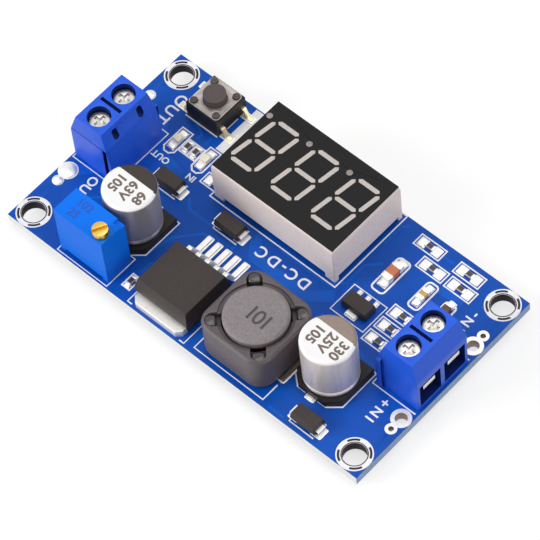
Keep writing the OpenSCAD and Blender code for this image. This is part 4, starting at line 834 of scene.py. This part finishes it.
def make_legend(sizes):
    """What is printed on the board: part outlines, end labels and a pale band."""
    bold_width = 1.3 * sizes.ink_width
    print_lines("part_outlines", package_outlines(), sizes.ink_width, sizes.ink_height)
    print_lines("bold_outlines", bold_outlines(), bold_width, sizes.ink_height)
    band, film = bmesh.new(), 0.02 * MM
    outline = in_metres([(-17.9, 9.1), (-13.2, 9.1), (-13.2, 17.8), (-17.9, 17.8)])
    plate(band, outline, DECK, film)
    piece("printed_band", kept(band, "printed_band", "ink"))
    letters = bmesh.new()
    tall, short, small = sizes.label_height, 0.87 * sizes.label_height, 1.0 * MM
    # Each row: the letters, their height, their middle in millimetres, turn and spacing.
    rows = (("OUT-", 0.9 * tall, (-27.6, -8.0), -90, 1.0),
            ("OUT", 1.1 * tall, (-27.4, 10.15), -90, 1.1), ("+", tall, (-27.4, 6.45), -90, 1.0),
            ("IN+", short, (28.35, -8.2), 90, 1.4), ("IN-", short, (28.4, 10.3), 90, 1.4),
            ("OUT", small, (-22.95, 3.05), 180, 1.0), ("IN", small, (-17.2, 3.2), 180, 1.0),
            ("DC-DC", 1.7 * MM, (3.0, 0.45), 180, 1.35))
    for words, height, (x, y), turn, spacing in rows:
        lettering(letters, words, height, (x * MM, y * MM), radians(turn), DECK, sizes.ink_height,
                  bold=0.045 * MM, spacing=spacing)
    piece("end_labels", kept(letters, "end_labels", "ink"))


def make_pads(sizes):
    """Tinned pads and the solder that holds the leads on them."""
    pads, solder = [], []
    # A mound is smaller than the size it is given, by more the rounder it is.
    swell, heap, lift, share = 1.2, 2.4, 0.01 * MM, 0.8

    def pad(x, y, size_x, size_y):
        pads.append(((x, y, DECK), (size_x, size_y, 2 * sizes.pad_height), 0))

    def fillet(x, y, size_x, size_y, rise):
        solder.append(((x, y, DECK + lift), (size_x * swell, size_y * swell, heap * rise), 0))

    def chip_pads(node, along_x, along_y, rise):
        for low, high in solids(node):
            mid, size, lying = (low + high) / 2, high - low, lies_along_x(low, high)
            reach, long, wide = (value * MM for value in (along_x if lying else along_y))
            span = min(size.x, size.y) + wide
            for flip in (1, -1):
                step = flip * (max(size.x, size.y) / 2 + reach)
                x, y = (mid.x + step, mid.y) if lying else (mid.x, mid.y + step)
                size_x, size_y = (long, span) if lying else (span, long)
                pad(x, y, size_x, size_y)
                fillet(x, y, size_x * share, size_y * share, rise)

    # For chips along X and along Y: how far out the pads lie, their length and their extra width.
    chip_pads("chip_resistors", (0.8, 1.4, 0.8), (0.3, 0.7, 0.3), 0.2 * MM)
    chip_pads("ceramic_caps", (0, 0, 0), (0.65, 1.3, 0.0), 0.4 * MM)
    chip_pads("indicator_bases", (0, 0, 0), (0.3, 1.0, 0.1), 0.3 * MM)
    foot, foot_width, foot_length = 1.4 * MM, 1.15 * MM, 3.4 * MM
    for low, high in solids("regulator_leads"):
        pad((low.x + high.x) / 2, high.y - foot, foot_width, foot_length)
    # How much wider and longer a pad is than the lead on it.
    margins = [(name + "_leads", 0.7, 0.5) for name in DIODES]
    margins += [("aux_regulator_leads", 0.2, 0.3)]
    margins += [(end + "_cap_leads", 0.9, 0.6) for end in ENDS]
    margins += [("inductor_terminals", 0.5, 0.5), ("button_legs", 0.6, 0.6)]
    for node, more_x, more_y in margins:
        for low, high in solids(node):
            mid, size = (low + high) / 2, high - low
            pad(mid.x, mid.y, size.x + more_x * MM, size.y + more_y * MM)
    mounds("tinned_pads", pads, 0.8, "tin")
    mounds("lead_solder", solder, 0.35, "tin")


# The parts on the board

SUNK = 0.01 * MM  # how far print starts inside what carries it
FINE_EDGE = 0.03 * MM


def paint_hollow_shade(made, number, reach):
    """Paint shade on faces that look mostly at the same piece, as in a recess, by giving them their
    own darker finish.
    """
    lift, slant, enough = 0.01 * MM, 1.4, 4
    turns = [k * pi / 4 for k in range(8)]
    mesh = made.data
    walls = BVHTree.FromPolygons([v.co for v in mesh.vertices],
                                 [face.vertices for face in mesh.polygons])
    for face in mesh.polygons:
        start = face.center + face.normal * lift
        across = face.normal.orthogonal().normalized()
        along = face.normal.cross(across)
        looks = [face.normal + slant * (across * cos(t) + along * sin(t)) for t in turns]
        met = sum(walls.ray_cast(start, look.normalized(), reach)[0] is not None for look in looks)
        if met >= enough:
            face.material_index = number


def make_terminals(sizes):
    """Screw terminals: housings, contact strips, screws and clamp cages."""
    well_radius, rim, sight, head_edge = 2.3 * MM, 0.1 * MM, 6.0 * MM, 0.09 * MM
    seams, drop, line, skin = bmesh.new(), 3.1 * MM, 0.1 * MM, Vector((0, 0.02 * MM, 0))
    front_gap, back_gap = 0.4 * MM, 0.7 * MM
    for end in ENDS:
        low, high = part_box(end + "_terminal_housing")
        screws = [sum(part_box(f"{end}_screw_{way}"), Vector()) / 2 for way in WAYS]

        def in_well(spot):
            return spot.z < high.z - rim and any((spot - s).xy.length < well_radius for s in screws)

        housing = softened(end + "_terminal_housing", sizes.moulding_edge, "terminal_nylon",
                           "terminal", "recess", crisp=in_well)
        # Faces deep in the housing take the darker colour as painted shade.
        paint_hollow_shade(housing, 1, sight)
        front, back, side = (low.x, high.x, low.y) if end == "out" else (high.x, low.x, high.y)
        inward = 1 if back > front else -1
        start, stop = sorted((front + front_gap * inward, back - back_gap * inward))
        # The parting line is a real seam, drawn as a thin dark strip in the painted recess shade
        # colour.
        seam = rectangle(Vector((start, side, 0)) - skin, Vector((stop, side, 0)) + skin)
        plate(seams, seam[:4], high.z - drop - line / 2, line)
        softened(end + "_contacts", sizes.metal_edge, "plated_steel", "steel")
        for way in WAYS:
            softened(f"{end}_screw_{way}", head_edge, "plated_steel", "steel",
                     body=f"{end}_{way}_screw")
            softened(f"{end}_cage_{way}", sizes.metal_edge, "plated_steel", "cage",
                     body=f"{end}_{way}_cage")
    piece("terminal_seams", kept(seams, "terminal_seams", "recess"))


def make_display(sizes):
    """Three-digit display with its carrier, pins and the meter chip under it."""
    softened("display_shell", sizes.moulding_edge, "display_resin", "shell", steps=3)
    softened("display_face", FINE_EDGE, "display_black", "face")
    bars = softened("display_segments", FINE_EDGE, "segment_resin", "segment", "dot", steps=1)
    widest_dot = 1.4 * MM
    dots = [(low, high) for low, high in solids("display_segments")
            if max((high - low).xy) < widest_dot]
    for face in bars.data.polygons:
        x, y = face.center.xy
        if any(low.x < x < high.x and low.y < y < high.y for low, high in dots):
            face.material_index = 1
    softened("display_carrier", sizes.metal_edge, "carrier_laminate", "laminate")
    softened("display_pins", sizes.metal_edge, "solder", "tin")
    softened("meter_chip", sizes.package_edge, "mould_epoxy", "mould")
    softened("meter_chip_leads", FINE_EDGE, "solder", "tin")


def make_button(sizes):
    """Push button: base with riveted posts, cover, plunger, dome and legs."""
    base = softened("button_base", sizes.package_edge, "button_black", "button", "plunger")
    post_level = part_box("button_cover")[1].z - 0.02 * MM
    for face in base.data.polygons:
        if face.center.z > post_level:
            face.material_index = 1
    softened("button_cover", sizes.metal_edge, "plated_steel", "cover")
    softened("button_plunger", 0.14 * MM, "plunger_black", "plunger", body="plunger", steps=3)
    softened("button_dome", 0.0, "plated_steel", "steel")
    softened("button_legs", sizes.metal_edge, "gilt_metal", "gilt")


def make_trimmer(sizes):
    """Multi-turn trimmer: case, plain value number and brass screw."""
    softened("trimmer_body", sizes.moulding_edge, "trimmer_resin", "trimmer", steps=3)
    softened("trimmer_screw", 0.06 * MM, "adjuster_brass", "brass", body="adjuster")
    softened("trimmer_pins", FINE_EDGE, "solder", "tin")
    low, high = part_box("trimmer_body")
    number = bmesh.new()
    for words, x, y in (("102", 3.0, 0.9), ("25", 2.6, -1.0)):
        middle = (low.x + x * MM, (low.y + high.y) / 2 + y * MM)
        lettering(number, words, 1.25 * MM, middle, 0.0, high.z - SUNK, sizes.ink_height,
                  bold=0.05 * MM)
    piece("trimmer_number", kept(number, "trimmer_number", "trimmer_mark"))


def make_capacitors(sizes):
    """Electrolytic capacitors: base, can, printed top with polarity mark and plain numbers."""
    numbers = {"out": ("68", "63V", "105"), "in": ("330", "25V", "105")}
    number_rows = (2.35, 0.25, -1.85)
    sleeve, mark, lip = 1, 2, 3
    # The mark covers what lies past a chord, and a hair's turn parts it from the pale print.
    rim, chord, hair, film = 0.45 * MM, 1.6 * MM, 0.003, sizes.ink_height
    crown, foot = 0.3 * MM, 0.4 * MM
    for end in ENDS:
        softened(end + "_cap_base", sizes.package_edge, "button_black", "button")
        # Painted shade and light: the output can is coloured darker and the input can paler, though
        # both are one aluminium.
        can = softened(end + "_cap_can", 0.0, "can_aluminium",
                       end + "_can", "sleeve", end + "_mark", "lip", angle=50)
        softened(end + "_cap_leads", sizes.metal_edge, "solder", "tin")
        low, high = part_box(end + "_cap_can")
        mid, radius, top = (low + high) / 2, (high - low).x / 2 - rim, high.z - SUNK
        edge = atan2(chord, sqrt(radius ** 2 - chord ** 2))
        printed = bmesh.new()
        plate(printed, arc(mid, radius, pi - edge, pi + 2 * edge, 40), top, film, 0)
        plate(printed, arc(mid, radius, edge + hair, pi - 2 * edge - 2 * hair, 24), top, film, 1)
        for face in can.data.polygons:
            y, z = face.center.yz
            if z > high.z - crown:
                face.material_index = mark if y - mid.y > chord else sleeve
            # The foot takes the lip colour, raised to near white as a painted highlight.
            elif z < low.z + foot:
                face.material_index = lip
        for words, x in zip(numbers[end], number_rows):
            lettering(printed, words, 1.42 * MM, (mid.x + x * MM, mid.y - 0.5 * MM), radians(-90),
                      top + film, film / 2, 2, bold=0.07 * MM)
        piece(end + "_cap_print",
              kept(printed, end + "_cap_print", "sleeve", end + "_mark", "digits"))


def make_regulators(sizes):
    """Five-lead regulator with its tab, and the small three-lead one."""
    softened("regulator_mould", sizes.package_edge, "mould_epoxy", "mould")
    softened("regulator_tab", sizes.metal_edge, "solder", "tin")
    softened("regulator_leads", sizes.metal_edge, "solder", "tin")
    softened("aux_regulator", sizes.package_edge, "mould_epoxy", "mould")
    softened("aux_regulator_leads", FINE_EDGE, "solder", "tin")


def make_inductor(sizes):
    """Shielded inductor: shield, numbered drum, winding, base, terminals and corner glue."""
    softened("inductor_shield", 0.14 * MM, "ferrite", "ferrite")
    softened("inductor_core", 0.1 * MM, "ferrite", "drum")
    softened("inductor_coil", 0.0, "copper_wire", "copper")
    softened("inductor_base", sizes.package_edge, "mould_epoxy", "mould")
    # The terminals take the dark cage colour: painted shade, for they lie beside the shield in its
    # shadow.
    softened("inductor_terminals", sizes.metal_edge, "solder", "cage")
    low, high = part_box("inductor_shield")
    mid, reach, drop = (low + high) / 2, 4.55 * MM, 0.85 * MM
    blob = (2.1 * MM, 2.3 * MM, 1.7 * MM)
    rows = [((mid.x + i * reach, mid.y + j * reach, high.z - drop), blob, atan2(j, i))
            for i in (1, -1) for j in (1, -1)]
    mounds("corner_glue", rows, 0.25, "glue")
    number = bmesh.new()
    lettering(number, "101", 2.3 * MM, (mid.x + 0.7 * MM, mid.y), pi,
              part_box("inductor_core")[1].z - SUNK, sizes.ink_height, bold=0.03 * MM, spacing=0.8)
    piece("inductor_number", kept(number, "inductor_number", "drum_mark"))


def make_diodes(sizes):
    """Power diodes and their leads."""
    for name in DIODES:
        softened(name, sizes.package_edge, "mould_epoxy", "mould")
        softened(name + "_leads", sizes.metal_edge, "solder", "tin")


def make_chips():
    """Chip resistors, chip capacitors and the two indicator lights."""
    softened("chip_resistors", 0.04 * MM, "chip_ceramic", "alumina")
    glaze, endways, sideways, coat = bmesh.new(), -0.04 * MM, -0.05 * MM, 0.03 * MM
    for low, high in solids("chip_resistors"):
        margins = (endways, sideways) if lies_along_x(low, high) else (sideways, endways)
        plate(glaze, rectangle(low, high, *margins)[:4], high.z - SUNK, coat)
    piece("resistor_glaze", kept(glaze, "resistor_glaze", "glaze"))
    softened("chip_resistor_ends", 0.05 * MM, "solder", "tin")
    ceramics = softened("ceramic_caps", 0.07 * MM, "capacitor_ceramic",
                        "large_ceramic", "small_ceramic", "dark_ceramic")
    boxes = solids("ceramic_caps")
    borders = [high.x + 0.1 * MM for low, high in boxes[:2]]
    for face in ceramics.data.polygons:
        face.material_index = sum(face.center.x > border for border in borders)
    softened("ceramic_cap_ends", 0.07 * MM, "solder", "tin")
    caps, cap_share, wrap, wrap_along = [], 0.21, 0.12 * MM, 0.1 * MM
    for low, high in boxes[:2]:
        mid, size, cap = (low + high) / 2, high - low, cap_share * (high - low).y
        caps += [((mid.x, y, mid.z), (size.x + wrap, cap + wrap_along, size.z + wrap), 0)
                 for y in (low.y + cap / 2, high.y - cap / 2)]
    mounds("ceramic_end_tin", caps, 0.85, "tin")
    softened("indicator_lights", 0.09 * MM, "lens_resin", "lens", steps=3)
    softened("indicator_bases", FINE_EDGE, "display_resin", "laminate")


# The stage

def seen_by_eye(tree):
    """One where a ray comes straight, or by a mirror or glass, from the camera."""
    path = add(tree, "ShaderNodeLightPath").outputs
    glossy = add(tree, "ShaderNodeMath", {0: path["Is Camera Ray"], 1: path["Is Glossy Ray"]},
                 operation="MAXIMUM")
    return add(tree, "ShaderNodeMath", {0: glossy.outputs[0], 1: path["Is Transmission Ray"]},
               operation="MAXIMUM").outputs[0]


def make_floor(tint):
    """A wide floor that reads as white and keeps a soft shadow."""
    albedo, glow = 0.36, 0.68
    made = bpy.data.materials.new("Studio floor, matt white")
    made.use_nodes = True
    tree = made.node_tree
    tree.nodes.clear()
    dull = add(tree, "ShaderNodeBsdfDiffuse", {"Color": (albedo, albedo, albedo, 1)})
    lit = add(tree, "ShaderNodeMath", {0: seen_by_eye(tree), 1: glow}, operation="MULTIPLY")
    shine = add(tree, "ShaderNodeEmission", {"Color": (*tint.floor, 1), "Strength": lit.outputs[0]})
    both = add(tree, "ShaderNodeAddShader", {0: dull.outputs[0], 1: shine.outputs[0]})
    add(tree, "ShaderNodeOutputMaterial", {"Surface": both.outputs[0]})
    half, level = 3.0, CAD_BOX[0].z
    corners = [(i * half, j * half, level) for i, j in ((-1, -1), (1, -1), (1, 1), (-1, 1))]
    mesh = bpy.data.meshes.new("studio_floor")
    mesh.from_pydata(corners, [], [(0, 1, 2, 3)])
    mesh.materials.append(made)
    placed("studio_floor", mesh)


def make_light(name, spot, size, power):
    """A square soft box that faces the part."""
    lamp = bpy.data.lights.new(name, "AREA")
    lamp.shape, lamp.size, lamp.energy = "SQUARE", size, power
    turned = Vector(spot).to_track_quat("Z", "Y").to_matrix().to_4x4()
    placed(name, lamp).matrix_world = Matrix.Translation(spot) @ turned


def make_stage(sizes, tint):
    """Floor, soft light and the camera."""
    scene = bpy.context.scene
    make_floor(tint)
    world = bpy.data.worlds.new("Studio")
    world.use_nodes = True
    scene.world = world
    tree = world.node_tree
    ambient = 0.38
    level = add(tree, "ShaderNodeMapRange", {
        "Value": seen_by_eye(tree), "To Min": ambient, "To Max": 1.0})
    back = tree.nodes["Background"]
    back.inputs["Color"].default_value = (*tint.floor, 1)
    tree.links.new(level.outputs["Result"], back.inputs["Strength"])
    # Place and width in metres, and power in watts.
    make_light("Key soft box", (-0.40, -0.55, 0.38), 0.45, 4.4)
    make_light("Top soft box", (0.05, 0.12, 0.60), 0.50, 1.25)
    make_light("Side soft box", (0.55, 0.16, 0.24), 0.35, 0.9)
    make_camera(sizes)
    scene.view_settings.view_transform = "Standard"


def make_camera(sizes):
    """The camera at the photo's angle."""
    lens = bpy.data.cameras.new("Camera")
    lens.lens, lens.sensor_width = sizes.camera_lens, 36.0
    lens.clip_start, lens.clip_end = 0.01, 10.0
    camera = placed("Camera", lens)
    turn, rise, roll = sizes.camera_turn, sizes.camera_rise, sizes.camera_roll
    back = Vector((sin(turn) * cos(rise), -cos(turn) * cos(rise), sin(rise)))
    right = Vector((cos(turn), sin(turn), 0))
    up = back.cross(right)
    axes = (cos(roll) * right + sin(roll) * up, cos(roll) * up - sin(roll) * right, back)
    spot = Vector(sizes.camera_spot) + back * sizes.camera_distance
    camera.matrix_world = Matrix.Translation(spot) @ Matrix(axes).transposed().to_4x4()
    bpy.context.scene.camera = camera


# Operators and panel

class CONVERTER_OT_board(bpy.types.Operator):
    """Make the board with its lacquer, holes and copper runs"""

    bl_idname = "converter.board"
    bl_label = "Board"

    def execute(self, context):
        make_board(context.scene.converter_sizes)
        return {"FINISHED"}


class CONVERTER_OT_legend(bpy.types.Operator):
    """Print the outlines and labels on the board"""

    bl_idname = "converter.legend"
    bl_label = "Printed legend"

    def execute(self, context):
        make_legend(context.scene.converter_sizes)
        return {"FINISHED"}


class CONVERTER_OT_pads(bpy.types.Operator):
    """Lay the tinned pads and solder"""

    bl_idname = "converter.pads"
    bl_label = "Pads and solder"

    def execute(self, context):
        make_pads(context.scene.converter_sizes)
        return {"FINISHED"}


class CONVERTER_OT_terminals(bpy.types.Operator):
    """Dress the screw terminals"""

    bl_idname = "converter.terminals"
    bl_label = "Screw terminals"

    def execute(self, context):
        make_terminals(context.scene.converter_sizes)
        return {"FINISHED"}


class CONVERTER_OT_display(bpy.types.Operator):
    """Dress the display"""

    bl_idname = "converter.display"
    bl_label = "Display"

    def execute(self, context):
        make_display(context.scene.converter_sizes)
        return {"FINISHED"}


class CONVERTER_OT_button(bpy.types.Operator):
    """Dress the push button"""

    bl_idname = "converter.button"
    bl_label = "Push button"

    def execute(self, context):
        make_button(context.scene.converter_sizes)
        return {"FINISHED"}


class CONVERTER_OT_trimmer(bpy.types.Operator):
    """Dress the trimmer and its screw"""

    bl_idname = "converter.trimmer"
    bl_label = "Trimmer"

    def execute(self, context):
        make_trimmer(context.scene.converter_sizes)
        return {"FINISHED"}


class CONVERTER_OT_capacitors(bpy.types.Operator):
    """Dress the electrolytic capacitors"""

    bl_idname = "converter.capacitors"
    bl_label = "Electrolytic capacitors"

    def execute(self, context):
        make_capacitors(context.scene.converter_sizes)
        return {"FINISHED"}


class CONVERTER_OT_regulators(bpy.types.Operator):
    """Dress the two regulators"""

    bl_idname = "converter.regulators"
    bl_label = "Regulators"

    def execute(self, context):
        make_regulators(context.scene.converter_sizes)
        return {"FINISHED"}


class CONVERTER_OT_inductor(bpy.types.Operator):
    """Dress the inductor"""

    bl_idname = "converter.inductor"
    bl_label = "Inductor"

    def execute(self, context):
        make_inductor(context.scene.converter_sizes)
        return {"FINISHED"}


class CONVERTER_OT_diodes(bpy.types.Operator):
    """Dress the power diodes"""

    bl_idname = "converter.diodes"
    bl_label = "Power diodes"

    def execute(self, context):
        make_diodes(context.scene.converter_sizes)
        return {"FINISHED"}


class CONVERTER_OT_chips(bpy.types.Operator):
    """Dress the chip parts and indicator lights"""

    bl_idname = "converter.chips"
    bl_label = "Chip parts"

    def execute(self, context):
        make_chips()
        return {"FINISHED"}


class CONVERTER_OT_stage(bpy.types.Operator):
    """Set the floor, lights and camera"""

    bl_idname = "converter.stage"
    bl_label = "Stage"

    def execute(self, context):
        make_stage(context.scene.converter_sizes, context.scene.converter_colours)
        return {"FINISHED"}


STEPS = (
    CONVERTER_OT_stage, CONVERTER_OT_board, CONVERTER_OT_legend, CONVERTER_OT_pads,
    CONVERTER_OT_terminals, CONVERTER_OT_display, CONVERTER_OT_button, CONVERTER_OT_trimmer,
    CONVERTER_OT_capacitors, CONVERTER_OT_regulators, CONVERTER_OT_inductor, CONVERTER_OT_diodes,
    CONVERTER_OT_chips,
)


class CONVERTER_PT_pieces(bpy.types.Panel):
    """Lists the pieces, sizes and colours of the converter"""

    bl_idname = "CONVERTER_PT_pieces"
    bl_label = "Boost converter"
    bl_space_type = "VIEW_3D"
    bl_region_type = "UI"
    bl_category = "Converter"

    def draw(self, context):
        for step in STEPS:
            self.layout.operator(step.bl_idname)
        for group in (context.scene.converter_sizes, context.scene.converter_colours):
            column = self.layout.column()
            for key in group.__annotations__:
                column.prop(group, key)


CLASSES = (ConverterSizes, ConverterColours, *STEPS, CONVERTER_PT_pieces)


def register():
    for kind in CLASSES:
        bpy.utils.register_class(kind)
    bpy.types.Scene.converter_sizes = PointerProperty(type=ConverterSizes)
    bpy.types.Scene.converter_colours = PointerProperty(type=ConverterColours)


def unregister():
    del bpy.types.Scene.converter_colours
    del bpy.types.Scene.converter_sizes
    for kind in reversed(CLASSES):
        bpy.utils.unregister_class(kind)


def main():
    """Make everything in order."""
    register()
    for step in STEPS:
        group, name = step.bl_idname.split(".")
        getattr(getattr(bpy.ops, group), name)()


if __name__ == "__main__":
    main()
